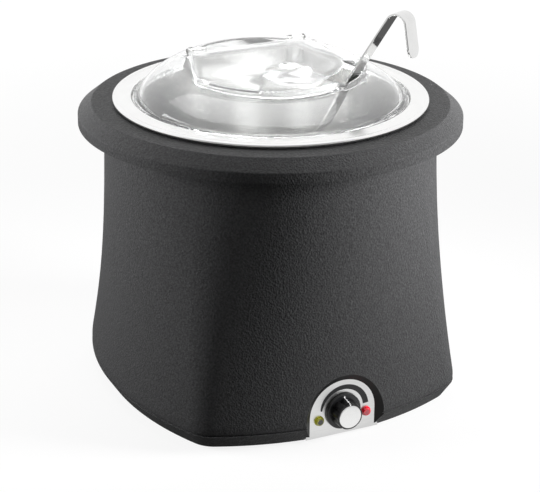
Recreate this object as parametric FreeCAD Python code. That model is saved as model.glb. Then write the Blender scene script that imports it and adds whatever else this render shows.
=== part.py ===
import FreeCAD, Part
import math
import os

# Soup kettle: moulded body with a wet-heat well, inset pot, clear hinged lid and ladle.
# Millimetres. Origin on the floor under the centre, +Z up, the control panel faces -Y.

# Body
FOOT_HEIGHT = 3.0
SHELL_HEIGHT = 250.8
SHELL_WALL = 3.0
SIDE_FLARE = 9.1
CORNER_FLARE = 20.9
BASE_CORNER_RADIUS = 36.0
SIDE_FLARE_POWER = 5.0
CORNER_FLARE_POWER = 1.53
LOFT_SECTIONS = 6
BEVEL_HEIGHT = 14.9
BEVEL_INSET = 9.7
BEVEL_STEP = 0.8
ROUND_SPLIT = 42.0

# Collar
COLLAR_OVERHANG = 23.2
COLLAR_BAND = 9.2
COLLAR_CHAMFER = 12.3
COLLAR_RISE = 9.7
COLLAR_WALL = 3.5
COLLAR_BORE_GAP = 4.5
COLLAR_SEAT_MARGIN = 9.9
COLLAR_LIP = 12.0
COLLAR_SPIGOT_WALL = 3.0
COLLAR_ROUND = 2.0
FIT_GAP = 0.3

# Water well and its seal
WATER_GAP = 12.0
WELL_WALL = 1.0
WELL_FLOOR = 43.0
WELL_CORNER = 14.0
WELL_FLANGE_ROUND = 2.0
WELL_FLANGE_WIDTH = 9.9
SEAL_THICKNESS = 1.2

# Pot
POT_RADIUS = 120.0
POT_WALL = 1.0
POT_FLOOR = 61.0
POT_CORNER = 16.0
RIM_WIDTH = 16.9
RIM_BEAD = 2.4
RIM_DIP = 0.7
RIM_STEP = 1.5
LEDGE_WIDTH = 5.5
LEDGE_DROP = 3.3
LEDGE_ROUND = 1.5
LEDGE_EDGE_ROUND = 0.8
RIM_INNER_ROUND = 1.2
RIM_TOP_ROUND = 3.0

# Control panel, in its arched recess
PANEL_SETBACK = 9.9
PANEL_THICKNESS = 1.2
ARCH_RADIUS = 32.0
ARCH_SPRING = 19.5
ARCH_MOUTH_RADIUS = 44.0
ARCH_MOUTH_SPRING = 25.0
ARCH_MOUTH_REACH = 15.0
ARCH_LAP = 4.0
ARCH_SURROUND = 9.0
PANEL_FOOT_LENGTH = 14.0
PANEL_FOOT_HALF_WIDTH = 30.0
PANEL_SCREW_X = 22.0
PANEL_SCREW_RADIUS = 1.5

# Knob and thermostat
KNOB_HEIGHT_ABOVE_SHELL_FOOT = 22.6
KNOB_SKIRT_RADIUS = 17.0
KNOB_SKIRT_THICKNESS = 2.8
KNOB_GRIP_RADIUS = 13.4
KNOB_GRIP_TOP_RADIUS = 12.4
KNOB_LENGTH = 14.0
KNOB_STANDOFF = 0.6
KNOB_FLUTES = 9
KNOB_FLUTE_RADIUS = 4.0
KNOB_FLUTE_DEPTH = 1.5
KNOB_SKIRT_ROUND = 1.2
KNOB_TOP_ROUND = 0.8
KNOB_NUT_CLEARANCE = 1.0
KNOB_CAP_RADIUS = 10.8
KNOB_CAP_THICKNESS = 1.2
KNOB_CAP_CROWN = 0.5
SPINDLE_RADIUS = 3.0
SPINDLE_INSIDE = 12.0
SPINDLE_IN_KNOB = 10.0
RUNNING_GAP = 0.06
BUSH_RADIUS = 5.0
BUSH_LENGTH = 4.2
NUT_FLATS = 14.0
NUT_THICKNESS = 2.5
THERMOSTAT_WIDTH = 31.0
THERMOSTAT_DEPTH = 26.0
THERMOSTAT_HEIGHT = 28.0
THERMOSTAT_ROUND = 2.0

# Indicator lamps
LAMP_SPACING = 47.2
LAMP_DROP = 5.6
LAMP_LENS_RADIUS = 4.6
LAMP_LENS_RIM = 1.2
LAMP_LENS_CROWN = 2.3
LAMP_BODY_RADIUS = 3.8
LAMP_BODY_LENGTH = 20.0
LAMP_BODY_ROUND = 0.8
LAMP_LENS_TOP_RADIUS = 3.45
LAMP_LENS_ROUND = 1.5
LAMP_CLIP_RADIUS = 6.4
LAMP_CLIP_THICKNESS = 1.0

# Heater and its plate
HEATER_RING_RADIUS = 75.0
HEATER_TUBE_RADIUS = 4.0
HEATER_SWEEP = 330.0
HEATER_TAIL = 14.0
HEATER_TAIL_CLEARANCE = 0.4
PLATE_RADIUS = 92.0
PLATE_THICKNESS = 1.5
PLATE_HOLE_RADIUS = 20.0
STUD_CIRCLE = 50.0
STUD_COUNT = 3
STUD_RADIUS = 2.0
STUD_TAIL = 5.0
STUD_NUT_FLATS = 7.0
STUD_NUT_THICKNESS = 3.2
CUTOUT_RADIUS = 8.0
CUTOUT_HEIGHT = 9.0
CUTOUT_FLANGE_RADIUS = 11.0
CUTOUT_FLANGE_THICKNESS = 1.2
CUTOUT_ROUND = 1.0

# Sensor bulb on the well's wall
BULB_RADIUS = 3.0
BULB_LENGTH = 70.0
BULB_RISE = 20.0
BULB_ROUND = 1.5
CAPILLARY_RADIUS = 0.8
CLIP_HEIGHT = 12.0
CLIP_WALL = 1.0
CLIP_WING = 8.0

# Base
COVER_THICKNESS = 2.5
COVER_INSET = 1.8
COVER_GAP = 0.2
VENT_COUNT = 7
VENT_PITCH = 12.0
VENT_LENGTH = 34.0
VENT_WIDTH = 4.0
VENT_ROW_Y = 45.0
STANDOFF_SPACING = 160.0
STANDOFF_RADIUS = 4.0
BASE_SCREW_RADIUS = 2.0
BASE_SCREW_LENGTH = 12.0
SCREW_HEAD_RADIUS = 3.8
SCREW_HEAD_HEIGHT = 2.0
SCREW_HEAD_ROUND = 1.2
FOOT_SPACING = 200.0
FOOT_RADIUS = 11.0
FOOT_TOE_RADIUS = 9.5
FOOT_NECK_RADIUS = 3.8
FOOT_BARB_RADIUS = 5.2
FOOT_BARB_HEIGHT = 2.0
FOOT_TOE_ROUND = 1.0

# Mains entry at the back
GLAND_HEIGHT = 25.0
GLAND_PAD_RADIUS = 15.0
GLAND_PAD_PROUD = 2.0
GLAND_PAD_DEPTH = 9.5
GLAND_FLANGE_RADIUS = 12.0
GLAND_FLANGE_THICKNESS = 4.0
GLAND_NECK_RADIUS = 8.0
GLAND_BORE_RADIUS = 4.0
GLAND_FLANGE_ROUND = 2.5
GLAND_MOUTH_ROUND = 1.2
GLAND_NUT_FLATS = 22.0
GLAND_NUT_THICKNESS = 4.0
BLOCK_LENGTH = 42.0
BLOCK_WIDTH = 16.0
BLOCK_HEIGHT = 14.0
BLOCK_INSET = 56.9
BLOCK_POLES = 3
BLOCK_TOWER_RADIUS = 4.5
BLOCK_TOWER_HEIGHT = 5.0
BLOCK_WIRE_RADIUS = 2.0

# Lid
LID_WALL = 2.5
LID_LIP_GAP = 1.2
LID_LIP_WIDTH = 4.3
LID_CROWN_RADIUS = 80.0
LID_RISE = 26.5
LID_TILT = 4.5
LID_SECTIONS = 6
LID_SHOULDER_POWER = 1.6

# Hatch and flap, measured on the lid's tilted crown
HATCH_ARC_RADIUS = 88.0
HATCH_ARC_CENTRE_Y = 15.0
HATCH_BACK_Y = 48.0
HATCH_BACK_HALF_WIDTH = 61.0
HATCH_SPLAY = 0.34
HATCH_CORNER = 9.0
FLAP_THICKNESS = 2.2
FLAP_GAP = 0.3
SKIRT_WALL = 2.0
SKIRT_DEPTH = 3.0
SKIRT_GAP = 0.8
SKIRT_BACK_GAP = 6.0
CURB_WALL = 2.5
CURB_HEIGHT = 3.5
PORT_RADIUS = 94.0
PORT_START = -66.0
PORT_END = -27.0
NOTCH_RADIUS = 72.0
NOTCH_MARGIN = 4.0
HINGE_OFFSET = 4.0
KNUCKLE_RADIUS = 3.4
KNUCKLE_LENGTH = 8.4
KNUCKLE_CENTRE_X = 50.5
LUG_LENGTH = 4.0
PIN_RADIUS = 1.5
PIN_HEAD_RADIUS = 2.4
PIN_HEAD_LENGTH = 1.2
PIN_CLEARANCE = 0.08
GRIP_Y = -33.0
GRIP_HALF_WIDTH = 25.0
GRIP_HALF_DEPTH = 16.0
GRIP_HEIGHT = 7.0
GRIP_TOP_SCALE = 0.68
GRIP_DISH_DEPTH = 3.0
GRIP_DISH_SHARE = 0.8
GRIP_SHOULDER_HEIGHT = 4.2
GRIP_SHOULDER_FULLNESS = 1.04

# Ladle, leaning in the port
LADLE_X = 56.6
LADLE_Y = -53.2
LADLE_HEADING = -51.0
LADLE_PAST_AXIS = 20.24
LADLE_FLOOR_GAP = 0.88
LADLE_TWIST = 173.6
STRAP_WIDTH = 20.0
STRAP_THICKNESS = 1.8
STRAP_ABOVE = 66.6
HOOK_RADIUS = 9.5
HOOK_TURN = 138.0
HOOK_ARM = 30.5
HOOK_TIP_ROUND = 8.5
BOWL_RADIUS = 32.0
BOWL_DEPTH = 25.0
BOWL_WALL = 1.2
BOWL_OVERLAP = 12.0
WELD_GAP = 0.1

# Radii and widths that follow, from the pot outwards
LEDGE_RADIUS = POT_RADIUS + LEDGE_WIDTH
RIM_INNER_RADIUS = LEDGE_RADIUS + RIM_STEP
RIM_RADIUS = RIM_INNER_RADIUS + RIM_WIDTH
LID_LIP_RADIUS = LEDGE_RADIUS - LID_LIP_GAP
LID_DOME_RADIUS = LID_LIP_RADIUS - LID_LIP_WIDTH
WELL_RADIUS = POT_RADIUS + WATER_GAP
WELL_FLANGE_RADIUS = WELL_RADIUS + WELL_FLANGE_WIDTH
COLLAR_BORE = WELL_RADIUS + COLLAR_BORE_GAP
SHELL_TOP_RADIUS = WELL_FLANGE_RADIUS + COLLAR_SEAT_MARGIN
COLLAR_RADIUS = SHELL_TOP_RADIUS + COLLAR_OVERHANG
BASE_HALF_WIDTH = SHELL_TOP_RADIUS + SIDE_FLARE
BASE_CORNER_REACH = BASE_HALF_WIDTH + CORNER_FLARE
BLOCK_Y = BASE_HALF_WIDTH - BLOCK_INSET

# Heights that follow from the sizes above
SHELL_BOTTOM = FOOT_HEIGHT
COLLAR_BOTTOM = SHELL_BOTTOM + SHELL_HEIGHT
COLLAR_TOP = COLLAR_BOTTOM + COLLAR_BAND + COLLAR_RISE
WELL_UNDERSIDE = SHELL_BOTTOM + WELL_FLOOR - WELL_WALL
COVER_TOP = SHELL_BOTTOM + COVER_THICKNESS
RIM_TOP = COLLAR_TOP + FIT_GAP + 2 * RIM_BEAD
LEDGE_Z = RIM_TOP - LEDGE_DROP
LID_BOTTOM = LEDGE_Z + FIT_GAP
CROWN_Z = LID_BOTTOM + LID_RISE
PANEL_Y = -(BASE_HALF_WIDTH - PANEL_SETBACK)
PANEL_BACK_Y = PANEL_Y + PANEL_THICKNESS
KNOB_Z = SHELL_BOTTOM + KNOB_HEIGHT_ABOVE_SHELL_FOOT
FLAP_UNDERSIDE = CURB_HEIGHT + FLAP_GAP
HINGE_Z = FLAP_UNDERSIDE + FLAP_THICKNESS / 2
HINGE_Y = HATCH_BACK_Y + HINGE_OFFSET
CURB_ROOT = LID_RISE - LID_WALL - HATCH_ARC_RADIUS * math.sin(math.radians(LID_TILT))
PLATE_TOP = WELL_UNDERSIDE - 2 * HEATER_TUBE_RADIUS - 2 * WELD_GAP
PLATE_UNDERSIDE = PLATE_TOP - PLATE_THICKNESS
LADLE_CROSSING_Z = CROWN_Z + HINGE_Z + LADLE_Y * math.tan(math.radians(LID_TILT))
LADLE_DROP = LADLE_CROSSING_Z - SHELL_BOTTOM - POT_FLOOR - LADLE_FLOOR_GAP
LADLE_REACH = POT_RADIUS + LADLE_PAST_AXIS
LADLE_LEAN = math.degrees(math.atan2(LADLE_REACH, LADLE_DROP))
STRAP_BELOW = math.hypot(LADLE_REACH, LADLE_DROP)

UP = FreeCAD.Vector(0, 0, 1)
ORIGIN = FreeCAD.Vector(0, 0, 0)
V = FreeCAD.Vector


# Profile helpers
def rounded_wire(corners):
    """Closed wire in the XZ plane from (x, z, corner radius) triples."""
    points = [V(x, 0, z) for x, z, _ in corners]
    count = len(points)
    starts = []
    ends = []
    edges = []
    for i, (_, _, radius) in enumerate(corners):
        here = points[i]
        if radius <= 0:
            starts.append(here)
            ends.append(here)
            continue
        back = (points[i - 1] - here).normalize()
        ahead = (points[(i + 1) % count] - here).normalize()
        half = back.getAngle(ahead) / 2
        cut = radius / math.tan(half)
        middle = (back + ahead).normalize() * (radius / math.sin(half) - radius)
        starts.append(here + back * cut)
        ends.append(here + ahead * cut)
        edges.append(Part.Arc(starts[i], here + middle, ends[i]).toShape())
    for i in range(count):
        follower = starts[(i + 1) % count]
        if ends[i].distanceToPoint(follower) > 1e-6:
            edges.append(Part.makeLine(ends[i], follower))
    return Part.Wire(Part.__sortEdges__(edges))


def skin(path, thickness):
    """Closed corner list for a sheet: the path and its copy moved to the left by thickness."""
    moved = []
    last = len(path) - 1
    for i, (x, z, radius) in enumerate(path):
        here = V(x, 0, z)
        into = None
        out = None
        if i > 0:
            into = (here - V(path[i - 1][0], 0, path[i - 1][1])).normalize()
        if i < last:
            out = (V(path[i + 1][0], 0, path[i + 1][1]) - here).normalize()
        into = into or out
        out = out or into
        left_in = V(-into.z, 0, into.x)
        left_out = V(-out.z, 0, out.x)
        step = (left_in + left_out) * (thickness / (1 + left_in.dot(left_out)))
        turn = into.x * out.z - into.z * out.x
        new_radius = 0
        if radius > 0:
            new_radius = max(radius - math.copysign(thickness, turn), 0)
        moved.append((x + step.x, z + step.z, new_radius))
    return path + moved[::-1]


def revolved(corners):
    """Solid of revolution about Z from a closed corner list."""
    return Part.Face(rounded_wire(corners)).revolve(ORIGIN, UP, 360)


def cylinder(radius, height, base, direction=UP):
    return Part.makeCylinder(radius, height, base, direction)


def hexagon(flats, height, base, direction=UP):
    """Hexagonal prism of the given width across flats."""
    reach = flats / math.sqrt(3)
    turns = [math.radians(60 * i) for i in range(7)]
    wire = Part.makePolygon([V(reach * math.cos(a), reach * math.sin(a), 0) for a in turns])
    prism = Part.Face(wire).extrude(V(0, 0, height))
    prism.Placement = FreeCAD.Placement(base, FreeCAD.Rotation(UP, direction))
    return prism


def forward(shape, x, y, z):
    """Copy of a shape made along +Z, turned to point at the front and moved into place."""
    turned = shape.copy()
    turned.rotate(ORIGIN, V(1, 0, 0), 90)
    turned.translate(V(x, y, z))
    return turned


def export(shape, name):
    solids = shape.Solids
    result = solids[0] if len(solids) == 1 else Part.makeCompound(solids)
    result.exportStep("parts/%s.step" % name)
    return result


# Body sections
def flat_arc(x, y, radius, start, end, z):
    """Arc in a level plane from one angle in radians to another."""
    turns = (start, (start + end) / 2, end)
    spots = [V(x + radius * math.cos(a), y + radius * math.sin(a), z) for a in turns]
    return Part.Arc(*spots).toShape()


def bowed_square(half, reach, corner, z):
    """Level wire of four bowed sides and four round corners, or a circle where reach equals half."""
    quarter = math.pi / 2
    if reach - half < 1e-6:
        side_radius = half
        split = math.radians(ROUND_SPLIT)
        corner = half
        offset = 0
    else:
        offset = (reach - corner) / math.sqrt(2)
        rise = offset - half + corner
        side_radius = (corner ** 2 - 2 * offset ** 2 + 2 * offset * half - half ** 2) / (2 * rise)
        split = math.atan2(offset, offset + side_radius - half)
    edges = []
    for i in range(4):
        turn = i * quarter
        side = half - side_radius
        side_x = side * math.cos(turn)
        side_y = side * math.sin(turn)
        edges.append(flat_arc(side_x, side_y, side_radius, turn - split, turn + split, z))
        diagonal = turn + quarter / 2
        reach_in = offset * math.sqrt(2)
        edges.append(flat_arc(reach_in * math.cos(diagonal), reach_in * math.sin(diagonal), corner,
                              turn + split, turn + quarter - split, z))
    return Part.Wire(edges)


def body_section(drop, inset):
    """Body outline at a share of the way from the round top to the base."""
    half = SHELL_TOP_RADIUS + (BASE_HALF_WIDTH - SHELL_TOP_RADIUS) * drop ** SIDE_FLARE_POWER
    reach = SHELL_TOP_RADIUS + (BASE_CORNER_REACH - SHELL_TOP_RADIUS) * drop ** CORNER_FLARE_POWER
    squareness = (reach / half - 1) / (BASE_CORNER_REACH / BASE_HALF_WIDTH - 1)
    corner = half + (BASE_CORNER_RADIUS - half) * math.sqrt(min(max(squareness, 0), 1))
    z = COLLAR_BOTTOM - drop * (SHELL_HEIGHT - BEVEL_HEIGHT)
    return bowed_square(half - inset, reach - inset, corner - inset, z)


def base_outline(inset, z):
    return bowed_square(BASE_HALF_WIDTH - inset, BASE_CORNER_REACH - inset, BASE_CORNER_RADIUS - inset, z)


def body_solid(inset):
    """Solid body from the base bevel to the underside of the collar, drawn in by inset."""
    drops = [i / (LOFT_SECTIONS - 1) for i in range(LOFT_SECTIONS)]
    flare = Part.makeLoft([body_section(drop, inset) for drop in drops], True, False)
    neck_height = COLLAR_TOP - COLLAR_WALL - COLLAR_BOTTOM
    neck = cylinder(SHELL_TOP_RADIUS - inset, neck_height, V(0, 0, COLLAR_BOTTOM))
    bevel_top = base_outline(BEVEL_STEP + inset, SHELL_BOTTOM + BEVEL_HEIGHT)
    bevel_foot = base_outline(BEVEL_INSET + inset, SHELL_BOTTOM)
    bevel = Part.makeLoft([bevel_top, bevel_foot], True, True)
    return flare.fuse([neck, bevel])


def arch_wire(radius, spring, foot, y):
    """Upright arch: two legs and a half circle, in a plane facing the front."""
    top = SHELL_BOTTOM + spring
    left = V(-radius, y, top)
    right = V(radius, y, top)
    crown = Part.Arc(left, V(0, y, top + radius), right).toShape()
    legs = [V(radius, y, foot), V(-radius, y, foot)]
    sides = [Part.makeLine(right, legs[0]), Part.makeLine(*legs), Part.makeLine(legs[1], left)]
    return Part.Wire([crown] + sides)


def arch_prism(radius, foot, front, depth):
    face = Part.Face(arch_wire(radius, ARCH_SPRING, foot, front))
    return face.extrude(V(0, depth, 0))


def outer_shell():
    """Flared body, open at both ends, with the arched recess and the pad for the mains entry."""
    outside = body_solid(0)
    inside = body_solid(SHELL_WALL)
    shell = outside.cut(inside)
    surround = arch_prism(ARCH_RADIUS + ARCH_SURROUND, SHELL_BOTTOM, PANEL_Y, -ARCH_MOUTH_REACH)
    shell = shell.fuse(surround.common(outside))
    below = SHELL_BOTTOM - BEVEL_HEIGHT
    throat = arch_wire(ARCH_RADIUS, ARCH_SPRING, below, PANEL_Y + PANEL_THICKNESS / 2)
    mouth = arch_wire(ARCH_MOUTH_RADIUS, ARCH_MOUTH_SPRING, below, PANEL_Y - ARCH_MOUTH_REACH)
    shell = shell.cut(Part.makeLoft([throat, mouth], True, True))
    slot = arch_prism(ARCH_RADIUS + ARCH_LAP + FIT_GAP, below, PANEL_Y, BEVEL_INSET)
    shell = shell.cut(slot)
    rebate = Part.Face(base_outline(BEVEL_INSET + COVER_INSET - COVER_GAP, SHELL_BOTTOM))
    shell = shell.cut(rebate.extrude(V(0, 0, COVER_THICKNESS)))
    pad_front = BASE_HALF_WIDTH + GLAND_PAD_PROUD
    entry = V(0, pad_front, SHELL_BOTTOM + GLAND_HEIGHT)
    inward = V(0, -1, 0)
    shell = shell.fuse(cylinder(GLAND_PAD_RADIUS, GLAND_PAD_DEPTH, entry, inward))
    hole = cylinder(GLAND_NECK_RADIUS + FIT_GAP, GLAND_PAD_DEPTH, entry, inward)
    return shell.cut(hole).removeSplitter()


def top_collar():
    """Overhanging ring with a hollow underside, a seat for the well and a spigot inside the shell."""
    seat = COLLAR_TOP - WELL_WALL - SEAL_THICKNESS
    seat_radius = WELL_FLANGE_RADIUS + FIT_GAP
    path = [
        (COLLAR_BORE, seat - COLLAR_LIP, 0),
        (COLLAR_BORE, seat, 0),
        (seat_radius, seat, 0),
        (seat_radius, COLLAR_TOP, 0),
        (COLLAR_RADIUS - COLLAR_CHAMFER, COLLAR_TOP, COLLAR_ROUND),
        (COLLAR_RADIUS, COLLAR_TOP - COLLAR_RISE, COLLAR_ROUND),
        (COLLAR_RADIUS, COLLAR_BOTTOM, 0),
    ]
    ring = revolved(skin(path, -COLLAR_WALL))
    spigot_outer = SHELL_TOP_RADIUS - SHELL_WALL - FIT_GAP
    ceiling = COLLAR_TOP - COLLAR_WALL
    spigot_foot = V(0, 0, COLLAR_BOTTOM)
    spigot = cylinder(spigot_outer, ceiling - COLLAR_BOTTOM, spigot_foot)
    spigot = spigot.cut(cylinder(spigot_outer - COLLAR_SPIGOT_WALL, ceiling - COLLAR_BOTTOM, spigot_foot))
    return ring.fuse(spigot).removeSplitter()


def water_well():
    """Deep-drawn water pan that hangs by its flange."""
    floor = SHELL_BOTTOM + WELL_FLOOR
    path = [
        (0, floor, 0),
        (WELL_RADIUS, floor, WELL_CORNER),
        (WELL_RADIUS, COLLAR_TOP, WELL_FLANGE_ROUND),
        (WELL_FLANGE_RADIUS, COLLAR_TOP, 0),
    ]
    return revolved(skin(path, -WELL_WALL))


def well_seal():
    seat = COLLAR_TOP - WELL_WALL - SEAL_THICKNESS
    ring = cylinder(WELL_FLANGE_RADIUS, SEAL_THICKNESS, V(0, 0, seat))
    return ring.cut(cylinder(COLLAR_BORE + FIT_GAP, SEAL_THICKNESS, V(0, 0, seat)))


def soup_pot():
    """Round pot with a rolled rim and a ledge inside the rim for the lid."""
    floor = SHELL_BOTTOM + POT_FLOOR
    bead_radius = RIM_RADIUS - RIM_BEAD
    path = [
        (0, floor, 0),
        (POT_RADIUS, floor, POT_CORNER),
        (POT_RADIUS, LEDGE_Z, LEDGE_ROUND),
        (LEDGE_RADIUS, LEDGE_Z, LEDGE_EDGE_ROUND),
        (RIM_INNER_RADIUS, RIM_TOP, RIM_INNER_ROUND),
        (bead_radius - 2 * RIM_BEAD, RIM_TOP - RIM_DIP, RIM_TOP_ROUND),
        (bead_radius, RIM_TOP - RIM_BEAD / 2, 0),
    ]
    sheet = revolved(skin(path, -POT_WALL))
    bead = Part.makeTorus(bead_radius, RIM_BEAD, V(0, 0, RIM_TOP - RIM_BEAD))
    return sheet.fuse(bead)


# Base
def corners_of(spacing, z):
    half = spacing / 2
    return [V(sx * half, sy * half, z) for sx in (-1, 1) for sy in (-1, 1)]


def panel_screw_spots(z):
    y = PANEL_BACK_Y + PANEL_FOOT_LENGTH / 2
    return [V(sx * PANEL_SCREW_X, y, z) for sx in (-1, 1)]


def slot_prism(centre, length, width, height):
    """Upright slot with round ends, running along Y."""
    run = length - width
    block = Part.makeBox(width, run, height, centre - V(width / 2, run / 2, 0))
    ends = [cylinder(width / 2, height, centre + V(0, s * run / 2, 0)) for s in (-1, 1)]
    return block.fuse(ends)


def base_cover():
    """Plate that closes the bottom, with vents and holes for screws and feet."""
    outline = Part.Face(base_outline(BEVEL_INSET + COVER_INSET, SHELL_BOTTOM))
    plate = outline.extrude(V(0, 0, COVER_THICKNESS))
    tools = []
    for row in (-1, 1):
        for i in range(VENT_COUNT):
            x = (i - (VENT_COUNT - 1) / 2) * VENT_PITCH
            centre = V(x, row * VENT_ROW_Y, SHELL_BOTTOM)
            tools.append(slot_prism(centre, VENT_LENGTH, VENT_WIDTH, COVER_THICKNESS))
    for spot in corners_of(STANDOFF_SPACING, SHELL_BOTTOM):
        tools.append(cylinder(BASE_SCREW_RADIUS + RUNNING_GAP, COVER_THICKNESS, spot))
    for spot in corners_of(FOOT_SPACING, SHELL_BOTTOM):
        tools.append(cylinder(FOOT_NECK_RADIUS, COVER_THICKNESS, spot))
    for spot in panel_screw_spots(SHELL_BOTTOM):
        tools.append(cylinder(PANEL_SCREW_RADIUS + RUNNING_GAP, COVER_THICKNESS, spot))
    return plate.cut(tools)


def feet():
    """Push-in rubber feet with a barbed neck."""
    top = COVER_TOP + FOOT_BARB_HEIGHT
    foot = revolved([
        (0, 0, 0),
        (FOOT_TOE_RADIUS, 0, FOOT_TOE_ROUND),
        (FOOT_RADIUS, SHELL_BOTTOM, 0),
        (FOOT_NECK_RADIUS, SHELL_BOTTOM, 0),
        (FOOT_NECK_RADIUS, COVER_TOP, 0),
        (FOOT_BARB_RADIUS, COVER_TOP, 0),
        (FOOT_NECK_RADIUS, top, 0),
        (0, top, 0),
    ])
    return Part.makeCompound([foot.translated(spot) for spot in corners_of(FOOT_SPACING, 0)])


def standoffs():
    """Threaded columns that stand on the base cover and carry the well."""
    posts = []
    for spot in corners_of(STANDOFF_SPACING, COVER_TOP):
        post = cylinder(STANDOFF_RADIUS, WELL_UNDERSIDE - COVER_TOP, spot)
        posts.append(post.cut(cylinder(BASE_SCREW_RADIUS + RUNNING_GAP, BASE_SCREW_LENGTH, spot)))
    return Part.makeCompound(posts)


def screw(radius, reach):
    """Pan-head screw from below: the head under the base, the shank up through it."""
    return revolved([
        (0, SHELL_BOTTOM - SCREW_HEAD_HEIGHT, 0),
        (SCREW_HEAD_RADIUS, SHELL_BOTTOM - SCREW_HEAD_HEIGHT, SCREW_HEAD_ROUND),
        (SCREW_HEAD_RADIUS, SHELL_BOTTOM, 0),
        (radius, SHELL_BOTTOM, 0),
        (radius, SHELL_BOTTOM + reach, 0),
        (0, SHELL_BOTTOM + reach, 0),
    ])


def base_screws():
    one = screw(BASE_SCREW_RADIUS, BASE_SCREW_LENGTH)
    return Part.makeCompound([one.translated(spot) for spot in corners_of(STANDOFF_SPACING, 0)])


def panel_screws():
    one = screw(PANEL_SCREW_RADIUS, COVER_THICKNESS + 2 * PANEL_THICKNESS)
    return Part.makeCompound([one.translated(spot) for spot in panel_screw_spots(0)])


# Controls
def lamp_spots(y):
    z = KNOB_Z - LAMP_DROP
    return [V(sx * LAMP_SPACING / 2, y, z) for sx in (-1, 1)]


def control_panel():
    """Arched plate with a turned-in foot, and holes for the thermostat and the lamps."""
    plate = arch_prism(ARCH_RADIUS + ARCH_LAP, SHELL_BOTTOM, PANEL_Y, PANEL_THICKNESS)
    corner = V(-PANEL_FOOT_HALF_WIDTH, PANEL_BACK_Y, COVER_TOP)
    foot = Part.makeBox(2 * PANEL_FOOT_HALF_WIDTH, PANEL_FOOT_LENGTH, PANEL_THICKNESS, corner)
    panel = plate.fuse(foot)
    inward = V(0, 1, 0)
    tools = [cylinder(BUSH_RADIUS + RUNNING_GAP, PANEL_THICKNESS, V(0, PANEL_Y, KNOB_Z), inward)]
    for spot in lamp_spots(PANEL_Y):
        tools.append(cylinder(LAMP_BODY_RADIUS + RUNNING_GAP, PANEL_THICKNESS, spot, inward))
    for spot in panel_screw_spots(COVER_TOP):
        tools.append(cylinder(PANEL_SCREW_RADIUS + RUNNING_GAP, PANEL_THICKNESS, spot))
    return panel.cut(tools).removeSplitter()


def thermostat_body():
    """Control block behind the panel, with the bush that comes through it."""
    low = V(-THERMOSTAT_WIDTH / 2, PANEL_BACK_Y, KNOB_Z - THERMOSTAT_HEIGHT / 2)
    block = Part.makeBox(THERMOSTAT_WIDTH, THERMOSTAT_DEPTH, THERMOSTAT_HEIGHT, low)
    upright = [e for e in block.Edges if abs(e.tangentAt(e.FirstParameter).y) > 0.99]
    block = block.makeFillet(THERMOSTAT_ROUND, upright)
    outward = V(0, -1, 0)
    centre = V(0, PANEL_BACK_Y, KNOB_Z)
    bush = cylinder(BUSH_RADIUS, BUSH_LENGTH, centre, outward)
    bore = cylinder(SPINDLE_RADIUS + RUNNING_GAP, SPINDLE_INSIDE + BUSH_LENGTH,
                    centre + V(0, SPINDLE_INSIDE, 0), outward)
    return block.fuse(bush).cut(bore)


def thermostat_nut():
    nut = hexagon(NUT_FLATS, NUT_THICKNESS, V(0, PANEL_Y, KNOB_Z), V(0, -1, 0))
    return nut.cut(cylinder(BUSH_RADIUS + RUNNING_GAP, NUT_THICKNESS, V(0, PANEL_Y, KNOB_Z), V(0, -1, 0)))


def thermostat_spindle():
    knob_seat = PANEL_Y - KNOB_STANDOFF
    start = PANEL_BACK_Y + SPINDLE_INSIDE - FIT_GAP
    length = start - (knob_seat - SPINDLE_IN_KNOB)
    return cylinder(SPINDLE_RADIUS, length, V(0, start, KNOB_Z), V(0, -1, 0))


def control_knob():
    """Skirted knob with scalloped flutes, a seat for its cap and a hollow over the nut."""
    grip_foot = KNOB_SKIRT_THICKNESS
    seat = KNOB_LENGTH - KNOB_CAP_THICKNESS
    knob = revolved([
        (0, 0, 0),
        (KNOB_SKIRT_RADIUS, 0, 0),
        (KNOB_SKIRT_RADIUS, grip_foot, KNOB_SKIRT_ROUND),
        (KNOB_GRIP_RADIUS, grip_foot, 0),
        (KNOB_GRIP_TOP_RADIUS, KNOB_LENGTH, KNOB_TOP_ROUND),
        (KNOB_CAP_RADIUS + RUNNING_GAP, KNOB_LENGTH, 0),
        (KNOB_CAP_RADIUS + RUNNING_GAP, seat, 0),
        (0, seat, 0),
    ])
    tools = []
    orbit = KNOB_GRIP_RADIUS + KNOB_FLUTE_RADIUS - KNOB_FLUTE_DEPTH
    for i in range(KNOB_FLUTES):
        turn = math.radians(360.0 / KNOB_FLUTES * (i + 0.5)) + math.pi / 2
        base = V(orbit * math.cos(turn), orbit * math.sin(turn), grip_foot)
        tools.append(cylinder(KNOB_FLUTE_RADIUS, KNOB_LENGTH, base))
    hollow = NUT_FLATS / math.sqrt(3) + KNOB_NUT_CLEARANCE
    tools.append(cylinder(hollow, BUSH_LENGTH, ORIGIN))
    tools.append(cylinder(SPINDLE_RADIUS, SPINDLE_IN_KNOB, ORIGIN))
    return forward(knob.cut(tools), 0, PANEL_Y - KNOB_STANDOFF, KNOB_Z)


def knob_cap():
    seat = KNOB_LENGTH - KNOB_CAP_THICKNESS
    crown = seat + KNOB_CAP_THICKNESS
    cap = revolved([
        (0, seat, 0),
        (KNOB_CAP_RADIUS, seat, 0),
        (KNOB_CAP_RADIUS, crown, 0),
        (KNOB_CAP_RADIUS - KNOB_CAP_CROWN, crown + KNOB_CAP_CROWN, 0),
        (0, crown + KNOB_CAP_CROWN, 0),
    ])
    return forward(cap, 0, PANEL_Y - KNOB_STANDOFF, KNOB_Z)


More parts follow.
